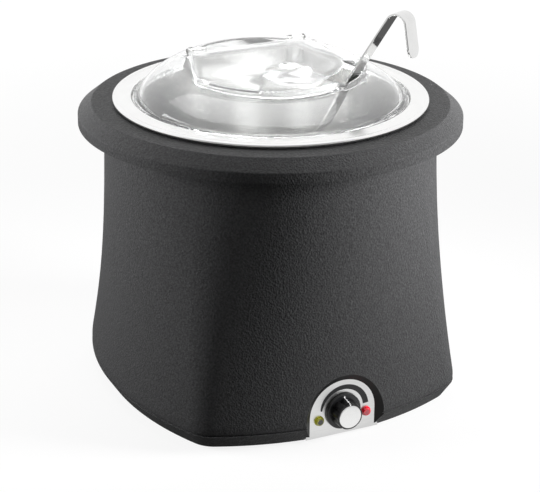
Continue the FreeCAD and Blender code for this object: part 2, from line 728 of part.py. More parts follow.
def lamp(spot):
    """Indicator lamp: domed lens in front of the panel, body behind it."""
    body = revolved([
        (0, -PANEL_THICKNESS - LAMP_BODY_LENGTH, 0),
        (LAMP_BODY_RADIUS, -PANEL_THICKNESS - LAMP_BODY_LENGTH, LAMP_BODY_ROUND),
        (LAMP_BODY_RADIUS, 0, 0),
        (LAMP_LENS_RADIUS, 0, 0),
        (LAMP_LENS_RADIUS, LAMP_LENS_RIM, 0),
        (LAMP_LENS_TOP_RADIUS, LAMP_LENS_RIM + LAMP_LENS_CROWN, LAMP_LENS_ROUND),
        (0, LAMP_LENS_RIM + LAMP_LENS_CROWN, 0),
    ])
    return forward(body, spot.x, spot.y, spot.z)


def lamp_clips():
    """Push-on rings that hold the lamps behind the panel."""
    inward = V(0, 1, 0)
    rings = []
    for spot in lamp_spots(PANEL_BACK_Y):
        ring = cylinder(LAMP_CLIP_RADIUS, LAMP_CLIP_THICKNESS, spot, inward)
        rings.append(ring.cut(cylinder(LAMP_BODY_RADIUS + RUNNING_GAP, LAMP_CLIP_THICKNESS, spot, inward)))
    return Part.makeCompound(rings)


# Heater and sensors
def around(radius, count, start, z):
    turns = [math.radians(start + 360.0 / count * i) for i in range(count)]
    return [V(radius * math.cos(a), radius * math.sin(a), z) for a in turns]


def heater_tail_spots(z):
    gap = math.radians((360 - HEATER_SWEEP) / 2)
    x = HEATER_RING_RADIUS * math.cos(gap)
    y = HEATER_RING_RADIUS * math.sin(gap)
    return [V(x, s * y, z) for s in (1, -1)]


def heating_element():
    """Open ring of sheathed heater tube with two tails turned down."""
    z = WELL_UNDERSIDE - WELD_GAP - HEATER_TUBE_RADIUS
    ring = Part.makeTorus(HEATER_RING_RADIUS, HEATER_TUBE_RADIUS, V(0, 0, z), UP, -180, 180, HEATER_SWEEP)
    ring.rotate(ORIGIN, UP, (360 - HEATER_SWEEP) / 2)
    pieces = []
    for spot in heater_tail_spots(z):
        pieces.append(Part.makeSphere(HEATER_TUBE_RADIUS, spot))
        pieces.append(cylinder(HEATER_TUBE_RADIUS, HEATER_TAIL, spot, V(0, 0, -1)))
    return ring.fuse(pieces)


def element_plate():
    """Disc that clamps the heater against the well."""
    base = V(0, 0, PLATE_UNDERSIDE)
    plate = cylinder(PLATE_RADIUS, PLATE_THICKNESS, base)
    tools = [cylinder(PLATE_HOLE_RADIUS, PLATE_THICKNESS, base)]
    for spot in heater_tail_spots(PLATE_UNDERSIDE):
        tools.append(cylinder(HEATER_TUBE_RADIUS + HEATER_TAIL_CLEARANCE, PLATE_THICKNESS, spot))
    for spot in around(STUD_CIRCLE, STUD_COUNT, 90, PLATE_UNDERSIDE):
        tools.append(cylinder(STUD_RADIUS + RUNNING_GAP, PLATE_THICKNESS, spot))
    return plate.cut(tools)


def plate_studs():
    foot = PLATE_UNDERSIDE - STUD_TAIL
    spots = around(STUD_CIRCLE, STUD_COUNT, 90, foot)
    return Part.makeCompound([cylinder(STUD_RADIUS, WELL_UNDERSIDE - foot, spot) for spot in spots])


def plate_nuts():
    nuts = []
    for spot in around(STUD_CIRCLE, STUD_COUNT, 90, PLATE_UNDERSIDE - STUD_NUT_THICKNESS):
        nut = hexagon(STUD_NUT_FLATS, STUD_NUT_THICKNESS, spot)
        nuts.append(nut.cut(cylinder(STUD_RADIUS + RUNNING_GAP, STUD_NUT_THICKNESS, spot)))
    return Part.makeCompound(nuts)


def thermal_cutout():
    """Disc cut-out under the heater plate, midway between two studs."""
    spot = around(STUD_CIRCLE, 1, 90 - 180.0 / STUD_COUNT, 0)[0]
    foot = PLATE_UNDERSIDE - CUTOUT_HEIGHT
    flange_foot = PLATE_UNDERSIDE - CUTOUT_FLANGE_THICKNESS
    disc = revolved([
        (0, foot, 0),
        (CUTOUT_RADIUS, foot, CUTOUT_ROUND),
        (CUTOUT_RADIUS, flange_foot, 0),
        (CUTOUT_FLANGE_RADIUS, flange_foot, 0),
        (CUTOUT_FLANGE_RADIUS, PLATE_UNDERSIDE, 0),
        (0, PLATE_UNDERSIDE, 0),
    ])
    return disc.translated(spot)


def bulb_y():
    return -(WELL_RADIUS + WELL_WALL + BULB_RADIUS + WELD_GAP)


def sensor_bulb():
    """Sensing bulb on the well's wall, fed by a capillary tube from the thermostat."""
    tube_foot = KNOB_Z + THERMOSTAT_HEIGHT / 2
    bulb_foot = tube_foot + BULB_RISE
    bulb_top = bulb_foot + BULB_LENGTH
    body = revolved([
        (0, tube_foot, 0),
        (CAPILLARY_RADIUS, tube_foot, 0),
        (CAPILLARY_RADIUS, bulb_foot - BULB_RADIUS, 0),
        (BULB_RADIUS, bulb_foot, 0),
        (BULB_RADIUS, bulb_top, BULB_ROUND),
        (0, bulb_top, 0),
    ])
    return body.translated(V(0, bulb_y(), 0))


def bulb_clip():
    """Sprung strap that holds the bulb to the well's wall."""
    middle = KNOB_Z + THERMOSTAT_HEIGHT / 2 + BULB_RISE + BULB_LENGTH / 2
    foot = V(0, 0, middle - CLIP_HEIGHT / 2)
    inner = WELL_RADIUS + WELL_WALL
    band = cylinder(inner + CLIP_WALL, CLIP_HEIGHT, foot).cut(cylinder(inner, CLIP_HEIGHT, foot))
    reach = BULB_RADIUS + CLIP_WALL + WELD_GAP
    side = reach + CLIP_WING
    window = Part.makeBox(2 * side, inner, CLIP_HEIGHT, V(-side, -inner - CLIP_WALL, foot.z))
    bulb_axis = V(0, bulb_y(), foot.z)
    saddle = cylinder(reach, CLIP_HEIGHT, bulb_axis)
    clip = band.common(window).fuse(saddle)
    clip = clip.cut(cylinder(inner, CLIP_HEIGHT, foot))
    return clip.cut(cylinder(BULB_RADIUS + WELD_GAP / 2, CLIP_HEIGHT, bulb_axis))


# Mains entry
def cord_gland():
    """Bush with a domed flange outside and a neck through the shell."""
    neck = GLAND_PAD_DEPTH + GLAND_NUT_THICKNESS
    bush = revolved([
        (GLAND_BORE_RADIUS, -neck, 0),
        (GLAND_NECK_RADIUS, -neck, 0),
        (GLAND_NECK_RADIUS, 0, 0),
        (GLAND_FLANGE_RADIUS, 0, 0),
        (GLAND_FLANGE_RADIUS, GLAND_FLANGE_THICKNESS, GLAND_FLANGE_ROUND),
        (GLAND_BORE_RADIUS, GLAND_FLANGE_THICKNESS, GLAND_MOUTH_ROUND),
    ])
    bush.rotate(ORIGIN, V(1, 0, 0), -90)
    return bush.translated(V(0, BASE_HALF_WIDTH + GLAND_PAD_PROUD, SHELL_BOTTOM + GLAND_HEIGHT))


def gland_nut():
    inward = V(0, -1, 0)
    base = V(0, BASE_HALF_WIDTH + GLAND_PAD_PROUD - GLAND_PAD_DEPTH, SHELL_BOTTOM + GLAND_HEIGHT)
    nut = hexagon(GLAND_NUT_FLATS, GLAND_NUT_THICKNESS, base, inward)
    return nut.cut(cylinder(GLAND_NECK_RADIUS + RUNNING_GAP, GLAND_NUT_THICKNESS, base, inward))


def terminal_block():
    """Mains terminal block with one screw tower for each pole."""
    corner = V(-BLOCK_LENGTH / 2, BLOCK_Y, COVER_TOP)
    block = Part.makeBox(BLOCK_LENGTH, BLOCK_WIDTH, BLOCK_HEIGHT, corner)
    towers = []
    wires = []
    for i in range(BLOCK_POLES):
        x = (i - (BLOCK_POLES - 1) / 2) * BLOCK_LENGTH / BLOCK_POLES
        top = V(x, BLOCK_Y + BLOCK_WIDTH / 2, COVER_TOP + BLOCK_HEIGHT)
        towers.append(cylinder(BLOCK_TOWER_RADIUS, BLOCK_TOWER_HEIGHT, top))
        mouth = V(x, BLOCK_Y, COVER_TOP + BLOCK_HEIGHT / 2)
        wires.append(cylinder(BLOCK_WIRE_RADIUS, BLOCK_WIDTH, mouth, V(0, 1, 0)))
    return block.fuse(towers).cut(wires)


# Lid, with its hatch features placed on the tilted crown
def on_crown(shape):
    placed = shape.copy()
    placed.rotate(ORIGIN, V(1, 0, 0), LID_TILT)
    placed.translate(V(0, 0, CROWN_Z))
    return placed


def lid_loft(inset):
    """Dome from a level circle at the lip to a tilted circle at the crown."""
    wires = []
    for i in range(LID_SECTIONS):
        swing = math.pi / 2 * i / (LID_SECTIONS - 1)
        spread = max(math.cos(swing), 0) ** LID_SHOULDER_POWER
        radius = LID_CROWN_RADIUS + (LID_DOME_RADIUS - LID_CROWN_RADIUS) * spread - inset
        tilt = math.radians(LID_TILT) * math.sin(swing)
        z = LID_BOTTOM + (LID_RISE - inset) * math.sin(swing)
        axis = V(0, -math.sin(tilt), math.cos(tilt))
        wires.append(Part.Wire(Part.Circle(V(0, 0, z), axis, radius).toShape()))
    return Part.makeLoft(wires, True, False)


def hatch_prism(inset, foot, top):
    """Hatch area: a disc trimmed by a straight back and splayed sides, with round front corners."""
    disc = cylinder(HATCH_ARC_RADIUS - inset, top - foot, V(0, HATCH_ARC_CENTRE_Y, foot))
    back = HATCH_BACK_Y - inset
    lean = inset * math.hypot(1, HATCH_SPLAY)
    reach = 3 * HATCH_ARC_RADIUS
    half_back = HATCH_BACK_HALF_WIDTH - lean + inset * HATCH_SPLAY
    half_front = half_back + reach * HATCH_SPLAY
    trim = Part.makePolygon([
        V(-half_back, back, foot),
        V(half_back, back, foot),
        V(half_front, back - reach, foot),
        V(-half_front, back - reach, foot),
        V(-half_back, back, foot),
    ])
    area = disc.common(Part.Face(trim).extrude(V(0, 0, top - foot)))
    front = [e for e in area.Edges if abs(e.tangentAt(e.FirstParameter).z) > 0.99 and e.CenterOfMass.y < 0]
    return area.makeFillet(HATCH_CORNER - inset / 2, front)


def port_prism(radius, inner, start, end, foot, top):
    """Part of a ring about the hatch arc's centre, between two angles in degrees."""
    centre = V(0, HATCH_ARC_CENTRE_Y, foot)
    ring = Part.makeCylinder(radius, top - foot, centre, UP, end - start)
    ring = ring.cut(cylinder(inner, top - foot, centre))
    ring.rotate(centre, UP, start)
    return ring


def hinge_sides(centre_x, length):
    """Start of a piece of hinge barrel on each side of the lid."""
    return [s * centre_x - length / 2 for s in (-1, 1)]


def barrel(radius, start_x, length):
    return cylinder(radius, length, V(start_x, HINGE_Y, HINGE_Z), V(1, 0, 0))


def lug_starts():
    spread = (KNUCKLE_LENGTH + LUG_LENGTH) / 2 + FIT_GAP
    inner = hinge_sides(KNUCKLE_CENTRE_X - spread, LUG_LENGTH)
    outer = hinge_sides(KNUCKLE_CENTRE_X + spread, LUG_LENGTH)
    return inner + outer


def lid_dome():
    """Clear dome with a raised curb round the hatch and the ladle port, and lugs for the hinge."""
    inside = lid_loft(LID_WALL)
    lip = cylinder(LID_LIP_RADIUS, LID_WALL, V(0, 0, LID_BOTTOM))
    dome = lid_loft(0).fuse(lip)
    inset = SKIRT_WALL + SKIRT_GAP
    curb = hatch_prism(inset, -CURB_ROOT, CURB_HEIGHT)
    curb = curb.fuse(port_prism(PORT_RADIUS, NOTCH_RADIUS, PORT_START, PORT_END, -CURB_ROOT, CURB_HEIGHT))
    lugs = []
    for start in lug_starts():
        foot = V(start, HINGE_Y - KNUCKLE_RADIUS, -CURB_ROOT)
        lugs.append(Part.makeBox(LUG_LENGTH, 2 * KNUCKLE_RADIUS, CURB_ROOT + HINGE_Z, foot))
        lugs.append(barrel(KNUCKLE_RADIUS, start, LUG_LENGTH))
    dome = dome.fuse([on_crown(curb)] + [on_crown(lug) for lug in lugs])
    dome = dome.cut(inside)
    wall_angle = math.degrees(CURB_WALL / PORT_RADIUS)
    hole = hatch_prism(inset + CURB_WALL, -2 * CURB_ROOT, 2 * CURB_HEIGHT)
    port = port_prism(PORT_RADIUS - CURB_WALL, NOTCH_RADIUS, PORT_START + wall_angle, PORT_END - wall_angle,
                      -2 * CURB_ROOT, 2 * CURB_HEIGHT)
    bores = [on_crown(barrel(PIN_RADIUS, start, LUG_LENGTH)) for start in lug_starts()]
    return dome.cut([on_crown(hole), on_crown(port)] + bores)


def hinge_pins():
    """Headed pins, one on each side, held in the lid's lugs."""
    spread = KNUCKLE_LENGTH / 2 + FIT_GAP + LUG_LENGTH
    pins = []
    for side in (-1, 1):
        outer = side * (KNUCKLE_CENTRE_X + spread)
        direction = V(-side, 0, 0)
        base = V(outer, HINGE_Y, HINGE_Z)
        pin = cylinder(PIN_RADIUS, 2 * spread, base, direction)
        head = cylinder(PIN_HEAD_RADIUS, PIN_HEAD_LENGTH, base, direction * -1)
        pins.append(on_crown(pin.fuse(head)))
    return Part.makeCompound(pins)


def ellipse_wire(half_width, half_depth, z):
    wire = Part.Wire(Part.Ellipse(ORIGIN, half_width, half_depth).toShape())
    return wire.translated(V(0, GRIP_Y, z))


def finger_grip():
    """Oval raised grip with a dished top."""
    top = FLAP_UNDERSIDE + FLAP_THICKNESS
    crest = top + GRIP_HEIGHT
    shoulder = (1 + GRIP_TOP_SCALE) / 2
    levels = [
        (1.0, top),
        (shoulder * GRIP_SHOULDER_FULLNESS, top + GRIP_SHOULDER_HEIGHT),
        (GRIP_TOP_SCALE, crest),
    ]
    wires = [ellipse_wire(GRIP_HALF_WIDTH * s, GRIP_HALF_DEPTH * s, z) for s, z in levels]
    bump = Part.makeLoft(wires, True, False)
    rim = GRIP_HALF_DEPTH * GRIP_TOP_SCALE * GRIP_DISH_SHARE
    dish_radius = (rim ** 2 + GRIP_DISH_DEPTH ** 2) / (2 * GRIP_DISH_DEPTH)
    dish = Part.makeSphere(dish_radius, V(0, GRIP_Y, crest + dish_radius - GRIP_DISH_DEPTH))
    return bump.cut(dish)


def lid_flap():
    """Hinged hatch cover with a skirt outside the curb, a notch for the ladle and a finger grip."""
    foot = FLAP_UNDERSIDE - SKIRT_DEPTH
    top = FLAP_UNDERSIDE + FLAP_THICKNESS
    plate = hatch_prism(0, foot, top).cut(hatch_prism(SKIRT_WALL, foot, FLAP_UNDERSIDE))
    reach = HATCH_BACK_HALF_WIDTH + HATCH_ARC_RADIUS
    back_strip = Part.makeBox(2 * reach, reach, SKIRT_DEPTH, V(-reach, HATCH_BACK_Y - SKIRT_BACK_GAP, foot))
    notch_start = PORT_START - NOTCH_MARGIN
    notch_end = PORT_END + NOTCH_MARGIN
    notch = port_prism(PORT_RADIUS, NOTCH_RADIUS, notch_start, notch_end, foot, top)
    plate = plate.cut([back_strip, notch])
    knuckles = [finger_grip()]
    bores = []
    for start in hinge_sides(KNUCKLE_CENTRE_X, KNUCKLE_LENGTH):
        tab_foot = V(start, HATCH_BACK_Y - HINGE_OFFSET, FLAP_UNDERSIDE)
        knuckles.append(Part.makeBox(KNUCKLE_LENGTH, 2 * HINGE_OFFSET, FLAP_THICKNESS, tab_foot))
        knuckles.append(barrel(KNUCKLE_RADIUS, start, KNUCKLE_LENGTH))
        bores.append(barrel(PIN_RADIUS + PIN_CLEARANCE, start, KNUCKLE_LENGTH))
    return on_crown(plate.fuse(knuckles).cut(bores))


# Ladle, made upright along its handle and then leaned into the port
def lean_ladle(shape):
    placed = shape.copy()
    placed.rotate(ORIGIN, UP, LADLE_TWIST)
    placed.rotate(ORIGIN, V(0, 1, 0), LADLE_LEAN)
    placed.rotate(ORIGIN, UP, LADLE_HEADING)
    placed.translate(V(LADLE_X, LADLE_Y, LADLE_CROSSING_Z))
    return placed


def ladle_handle():
    """Flat strap with a hook at the top, bent away from the bowl."""
    turn = math.radians(HOOK_TURN)
    half = STRAP_THICKNESS / 2
    foot = V(0, 0, -STRAP_BELOW)
    straight_top = V(0, 0, STRAP_ABOVE)
    centre = V(-HOOK_RADIUS, 0, STRAP_ABOVE)

    def edge_line(offset):
        radius = HOOK_RADIUS + offset
        middle = centre + V(radius * math.cos(turn / 2), 0, radius * math.sin(turn / 2))
        bend_end = centre + V(radius * math.cos(turn), 0, radius * math.sin(turn))
        arm = V(-math.sin(turn), 0, math.cos(turn)) * HOOK_ARM
        shift = V(offset, 0, 0)
        edges = [
            Part.makeLine(foot + shift, straight_top + shift),
            Part.Arc(straight_top + shift, middle, bend_end).toShape(),
            Part.makeLine(bend_end, bend_end + arm),
        ]
        return edges, foot + shift, bend_end + arm

    outer, outer_foot, outer_tip = edge_line(half)
    inner, inner_foot, inner_tip = edge_line(-half)
    closing = [Part.makeLine(outer_tip, inner_tip), Part.makeLine(inner_foot, outer_foot)]
    outline = Part.Wire(Part.__sortEdges__(outer + inner + closing))
    strap = Part.Face(outline).extrude(V(0, STRAP_WIDTH, 0))
    strap.translate(V(0, -STRAP_WIDTH / 2, 0))
    tip = (outer_tip + inner_tip) * 0.5
    ends = []
    for edge in strap.Edges:
        spot = edge.CenterOfMass
        near = min((V(spot.x, 0, spot.z) - p).Length for p in (tip, foot))
        if near < half / 2 and abs(edge.Length - STRAP_THICKNESS) < 1e-3:
            ends.append(edge)
    return lean_ladle(strap.makeFillet(HOOK_TIP_ROUND, ends))


def bowl_arc(radius, depth, z):
    """Half profile of a round cap, from its lowest point on the axis to its rim."""
    curve = (radius ** 2 + depth ** 2) / (2 * depth)
    centre_z = z - depth + curve
    swing = math.asin(min(radius / curve, 1.0)) / 2
    middle = V(curve * math.sin(swing), 0, centre_z - curve * math.cos(swing))
    low = V(0, 0, z - depth)
    rim = V(radius, 0, z)
    return Part.Arc(low, middle, rim).toShape(), low, rim


def ladle_bowl():
    """Round bowl welded to the foot of the strap."""
    rim_z = BOWL_OVERLAP - STRAP_BELOW
    outer, outer_low, outer_rim = bowl_arc(BOWL_RADIUS + BOWL_WALL, BOWL_DEPTH + BOWL_WALL, rim_z)
    inner, inner_low, inner_rim = bowl_arc(BOWL_RADIUS, BOWL_DEPTH, rim_z)
    lips = [Part.makeLine(outer_rim, inner_rim), Part.makeLine(inner_low, outer_low)]
    section = Part.Wire(Part.__sortEdges__([outer, inner] + lips))
    bowl = Part.Face(section).revolve(ORIGIN, UP, 360)
    offset = STRAP_THICKNESS / 2 + WELD_GAP + BOWL_RADIUS + BOWL_WALL
    return lean_ladle(bowl.translated(V(offset, 0, 0)))


def main():
    os.makedirs("parts", exist_ok=True)
    red_side, yellow_side = lamp_spots(PANEL_Y)[::-1]
    pieces = {
        "outer_shell": outer_shell(),
        "top_collar": top_collar(),
        "water_well": water_well(),
        "well_seal": well_seal(),
        "soup_pot": soup_pot(),
        "base_cover": base_cover(),
        "feet": feet(),
        "standoffs": standoffs(),
        "base_screws": base_screws(),
        "control_panel": control_panel(),
        "panel_screws": panel_screws(),
        "thermostat_body": thermostat_body(),
        "thermostat_nut": thermostat_nut(),
        "thermostat_spindle": thermostat_spindle(),
        "control_knob": control_knob(),
        "knob_cap": knob_cap(),
        "power_lamp": lamp(red_side),
        "heating_lamp": lamp(yellow_side),
        "lamp_clips": lamp_clips(),
        "heating_element": heating_element(),
        "element_plate": element_plate(),
        "plate_studs": plate_studs(),
        "plate_nuts": plate_nuts(),
        "thermal_cutout": thermal_cutout(),
        "sensor_bulb": sensor_bulb(),
        "bulb_clip": bulb_clip(),
        "cord_gland": cord_gland(),
        "gland_nut": gland_nut(),
        "terminal_block": terminal_block(),
        "lid_dome": lid_dome(),
        "hinge_pins": hinge_pins(),
        "lid_flap": lid_flap(),
        "ladle_handle": ladle_handle(),
        "ladle_bowl": ladle_bowl(),
    }
    for name, shape in pieces.items():
        result = export(shape, name)
        box = result.BoundBox
        print("%-20s solids %d valid %s volume %.0f z %.1f..%.1f" % (
            name, len(result.Solids), result.isValid(), result.Volume, box.ZMin, box.ZMax))


main()
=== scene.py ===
import math

import bmesh
import bpy
from mathutils import Matrix, Vector


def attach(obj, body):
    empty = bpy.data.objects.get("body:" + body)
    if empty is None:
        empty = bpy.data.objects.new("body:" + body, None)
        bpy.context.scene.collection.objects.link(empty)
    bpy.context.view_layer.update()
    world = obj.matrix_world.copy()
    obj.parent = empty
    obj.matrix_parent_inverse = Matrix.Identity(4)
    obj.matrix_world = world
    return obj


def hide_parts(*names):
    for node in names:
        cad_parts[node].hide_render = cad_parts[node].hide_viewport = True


bl_info = {
    "name": "Soup kettle",
    "version": (1, 0, 0),
    "blender": (4, 5, 0),
    "location": "View3D > Sidebar > Kettle",
    "description": "Dresses the packed soup kettle and sets it on a pale studio floor",
    "category": "Object",
}

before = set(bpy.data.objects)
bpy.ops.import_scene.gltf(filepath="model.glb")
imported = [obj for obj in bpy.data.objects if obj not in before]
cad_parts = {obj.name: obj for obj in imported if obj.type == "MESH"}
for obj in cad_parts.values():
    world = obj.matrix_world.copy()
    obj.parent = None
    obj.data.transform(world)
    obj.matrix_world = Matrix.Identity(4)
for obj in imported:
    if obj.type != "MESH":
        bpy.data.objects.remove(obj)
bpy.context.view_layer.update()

# Millimetres, as in the part's source, turned to metres when a mesh is made
MM = 0.001
FOOT_HEIGHT = 3.0
FIT_GAP = 0.3
FLOOR_REACH = 40000.0

# Body
SHELL_HEIGHT = 250.8
SHELL_WALL = 3.0
SHELL_TOP_RADIUS = 151.8
BASE_HALF_WIDTH = 160.9
BASE_CORNER_REACH = 181.8
BASE_CORNER_RADIUS = 36.0
SIDE_FLARE_POWER = 5.0
CORNER_FLARE_POWER = 1.53
ROUND_SPLIT = 42.0
BEVEL_HEIGHT = 14.9
BEVEL_INSET = 9.7
BEVEL_STEP = 0.8
GROOVE_DEPTH = 2.3
GROOVE_HEIGHT = 1.4
GROOVE_LIP = 0.1
ROLL_HEIGHT = 9.0
ROLL_INSET = 1.7
ROLL_STEPS = 8
HOLLOW_LEVELS = 12
HOLLOW_SIDE_STEPS = 10
HOLLOW_OVERRUN = 1.0
GLAND_HEIGHT = 25.0
GLAND_PAD_RADIUS = 15.0
GLAND_PAD_PROUD = 2.0
GLAND_PAD_ROUND = 0.8
GLAND_HOLE_RADIUS = 8.3

# Recess round the control panel
PANEL_SETBACK = 9.9
PANEL_THICKNESS = 1.2
ARCH_RADIUS = 32.0
ARCH_SPRING = 19.5
ARCH_MOUTH_RADIUS = 48.0
ARCH_MOUTH_SPRING = 27.7
ARCH_MOUTH_REACH = 15.0
ARCH_LAP = 4.0
ARCH_SURROUND = 13.0
ARCH_SURROUND_REACH = 45.0
ARCH_STEPS = 48
RECESS_FACING = 0.4

# Collar, well and pot
COLLAR_RADIUS = 175.0
COLLAR_BAND = 9.2
COLLAR_CHAMFER = 12.3
COLLAR_RISE = 9.7
COLLAR_WALL = 3.5
COLLAR_BORE = 136.5
COLLAR_LIP = 12.0
COLLAR_ROUND = 2.0
SPIGOT_WALL = 3.0
SEAL_THICKNESS = 1.2
WELL_RADIUS = 132.0
WELL_WALL = 1.0
WELL_FLOOR = 43.0
WELL_CORNER = 14.0
WELL_FLANGE_RADIUS = 141.9
WELL_FLANGE_ROUND = 2.0
POT_RADIUS = 120.0
POT_WALL = 1.0
POT_FLOOR = 61.0
POT_CORNER = 16.0
POT_STEP_ROUND = 1.5
LEDGE_RADIUS = 125.5
LEDGE_DROP = 3.3
LEDGE_ROUND = 0.8
RIM_RADIUS = 143.9
RIM_BEAD = 2.4
RIM_BEAD_STEPS = 20
RIM_DIP = 0.7
RIM_DIP_ROUND = 3.0
RIM_INNER_RADIUS = 127.0
RIM_INNER_ROUND = 1.2

# Controls
KNOB_RISE = 22.6
KNOB_STANDOFF = 0.6
KNOB_SKIRT_RADIUS = 17.0
KNOB_SKIRT_THICKNESS = 2.8
KNOB_SKIRT_ROUND = 1.2
KNOB_BACK_ROUND = 0.4
KNOB_GRIP_RADIUS = 13.4
KNOB_GRIP_FOOT = 0.05
KNOB_GRIP_TOP_RADIUS = 12.4
KNOB_GRIP_TOP_ROUND = 0.8
KNOB_LENGTH = 14.0
KNOB_FLUTES = 9
KNOB_FLUTE_RADIUS = 4.0
KNOB_FLUTE_DEPTH = 1.5
KNOB_FLUTE_FOOT = 0.01
KNOB_FLUTE_INNER = 0.5
KNOB_HOLLOW_RADIUS = 9.0
KNOB_HOLLOW_DEPTH = 4.2
CAP_RADIUS = 10.8
CAP_THICKNESS = 1.2
CAP_CROWN = 0.5
CAP_ROUND = 0.6
POINTER_WIDTH = 1.1
POINTER_DEPTH = 0.5
POINTER_SKIRT_PROUD = 0.12
POINTER_SIDE_PROUD = 0.14
POINTER_TOP_PROUD = 0.1
POINTER_SKIRT_INSET = 1.4
POINTER_TOP_DROP = 0.6
POINTER_TOP_INSET = 0.5
POINTER_CAP_GAP = 0.1
WEDGE_START = 172.0
WEDGE_SWEEP = 166.0
WEDGE_TIP = 0.24
WEDGE_PROUD = 0.06
WEDGE_THICKNESS = 0.05
WEDGE_STEPS = 72
LAMP_SPACING = 47.2
LAMP_DROP = 5.6
LAMP_BODY_RADIUS = 3.8
LAMP_BODY_LENGTH = 20.0
LAMP_BODY_ROUND = 0.8
LENS_RADIUS = 4.6
LENS_RIM = 1.2
LENS_RIM_ROUND = 0.3
LENS_CROWN = 2.3
LENS_TOP_RADIUS = 3.45
LENS_TOP_ROUND = 1.5

# Screws under the base
STANDOFF_SPACING = 160.0
SCREW_HEAD_HEIGHT = 2.0
CROSS_ARMS = 4
CROSS_STEPS = 24
CROSS_OUTER_RADIUS = 1.6
CROSS_INNER_RADIUS = 0.9
CROSS_PROUD = 0.02
CROSS_DEPTH = 0.3

# Ladle
LADLE_X = 56.6
LADLE_Y = -53.2
LADLE_HEADING = -51.0
LADLE_LEAN = 30.6
LADLE_TWIST = 173.6
LADLE_CROSSING_Z = 306.2
LID_TILT = 4.5
STRAP_WIDTH = 20.0
STRAP_THICKNESS = 1.8
STRAP_EASE = 0.35
STRAP_BELOW = 275.4
STRAP_ABOVE = 66.6
STRAP_STEPS = 40
STRAP_FIRST_STEP = 2
HOOK_RADIUS = 9.5
HOOK_TURN = 138.0
HOOK_STEPS = 32
HOOK_ARM = 30.5
HOOK_ARM_STEPS = 10
HOOK_ARM_PLAIN_STEPS = 7
HOOK_TIP_ROUND = 8.5
HOOK_TIP_STEPS = 10
BOWL_RADIUS = 32.0
BOWL_DEPTH = 25.0
BOWL_WALL = 1.2
BOWL_OVERLAP = 12.0
BOWL_STEPS = 28
WELD_GAP = 0.1

# Heights and planes that follow
SHELL_BOTTOM = FOOT_HEIGHT
BEVEL_TOP = SHELL_BOTTOM + BEVEL_HEIGHT
COLLAR_BOTTOM = SHELL_BOTTOM + SHELL_HEIGHT
COLLAR_TOP = COLLAR_BOTTOM + COLLAR_BAND + COLLAR_RISE
RIM_TOP = COLLAR_TOP + FIT_GAP + 2 * RIM_BEAD
LEDGE_Z = RIM_TOP - LEDGE_DROP
PANEL_Y = PANEL_SETBACK - BASE_HALF_WIDTH
KNOB_Z = SHELL_BOTTOM + KNOB_RISE

# How finely meshes are made and joined
ARC_STEPS = 6
SMALL_ROUND_STEPS = 64
MIDDLE_ROUND_STEPS = 96
KNOB_ROUND_STEPS = 252
QUARTER = math.pi / 2
SMOOTH_ANGLE = math.radians(32)
TINY = 1e-6
MERGE_DISTANCE = 1e-6
NODE_MERGE_DISTANCE = 2e-6
COLLAPSE_DISTANCE = 1e-7

# Shades, scales and stretches of patterns in the finishes
WHITE = (1, 1, 1, 1)
EVEN = (1.0, 1.0, 1.0)
ROUND_AND_ROUND = (0.05, 0.05, 1.0)
ALONG_DEPTH = (1.0, 0.05, 1.0)
UPRIGHT = (1.0, 1.0, 0.1)
# Painted light: the pot's steel is a lighter copy of the steel colour
POT_PAINTED_LIGHT = 1.28
# Painted shade: the well's steel is a darker copy of the steel colour
WELL_PAINTED_SHADE = 0.8
# Painted light: the ladle's steel is a lighter copy of the steel colour
LADLE_PAINTED_LIGHT = 1.06
DUST_PER_PITCH = 0.9
PATCHES_PER_PITCH = 0.6
DUST_HEIGHT = 0.5
RINGS_PER_PITCH = 0.3
LENS_DEPTH_STRETCH = 0.2
LENS_EDGE_SHADE = 1.1
LENS_GLOW_SHADE = 0.9
LENS_RING = 0.3
LENS_CORE = 0.52
LENS_GLOW_END = 0.5
UNLIT = (0, 0, 0)

# Stage in metres, with ranges as (from, to, value at from, value at to)
FLOOR_ROUGHNESS = 0.8
FLOOR_TONE = (0.0, 1.0, 0.03, 0.8)
FLOOR_GLOW = 1.04
GLOW_SHARE = (0.4, 1.4, 0.82, 1.0)
SHEEN_SHIFT = (0.0, 0.24, 0.0)
NEAR_SHEEN = (0.07, 0.2, 1.0, 0.12)
FAR_SHEEN = (0.6, 2.6, 0.0, 1.0)
DIM_SKY = (0.02, 0.02, 0.02, 1)
SKY_HEIGHT = (0.2, 0.7, 0.08, 1.0)
BACK_WALL = (-0.9, -0.2, 0.0, 1.0)

# Studio lights as (name, place, aim, size, watts, spread in degrees)
SOFT_BOXES = (
    ("right_box", (0.778, -0.545, 0.42), (0, 0, 0.3), (0.4, 0.4), 5.8, 75.0),
    ("left_box", (-0.881, 0.356, 0.42), (0, 0, 0.3), (0.5, 0.4), 3.4, 75.0),
    ("top_box", (0.15, 0.8, 1.8), (0, 0, 0.2), (1.6, 1.2), 15.0, 180.0),
)

# The photograph's camera
CAMERA_PLACE = (-0.6914, -1.4033, 0.7654)
CAMERA_AZIMUTH = -26.23
CAMERA_ELEVATION = 22.01
CAMERA_ROLL = 0.58
CAMERA_LENS = 119.88
CAMERA_SENSOR = 36.0
CAMERA_SHIFT = (0.00126, -0.0101)


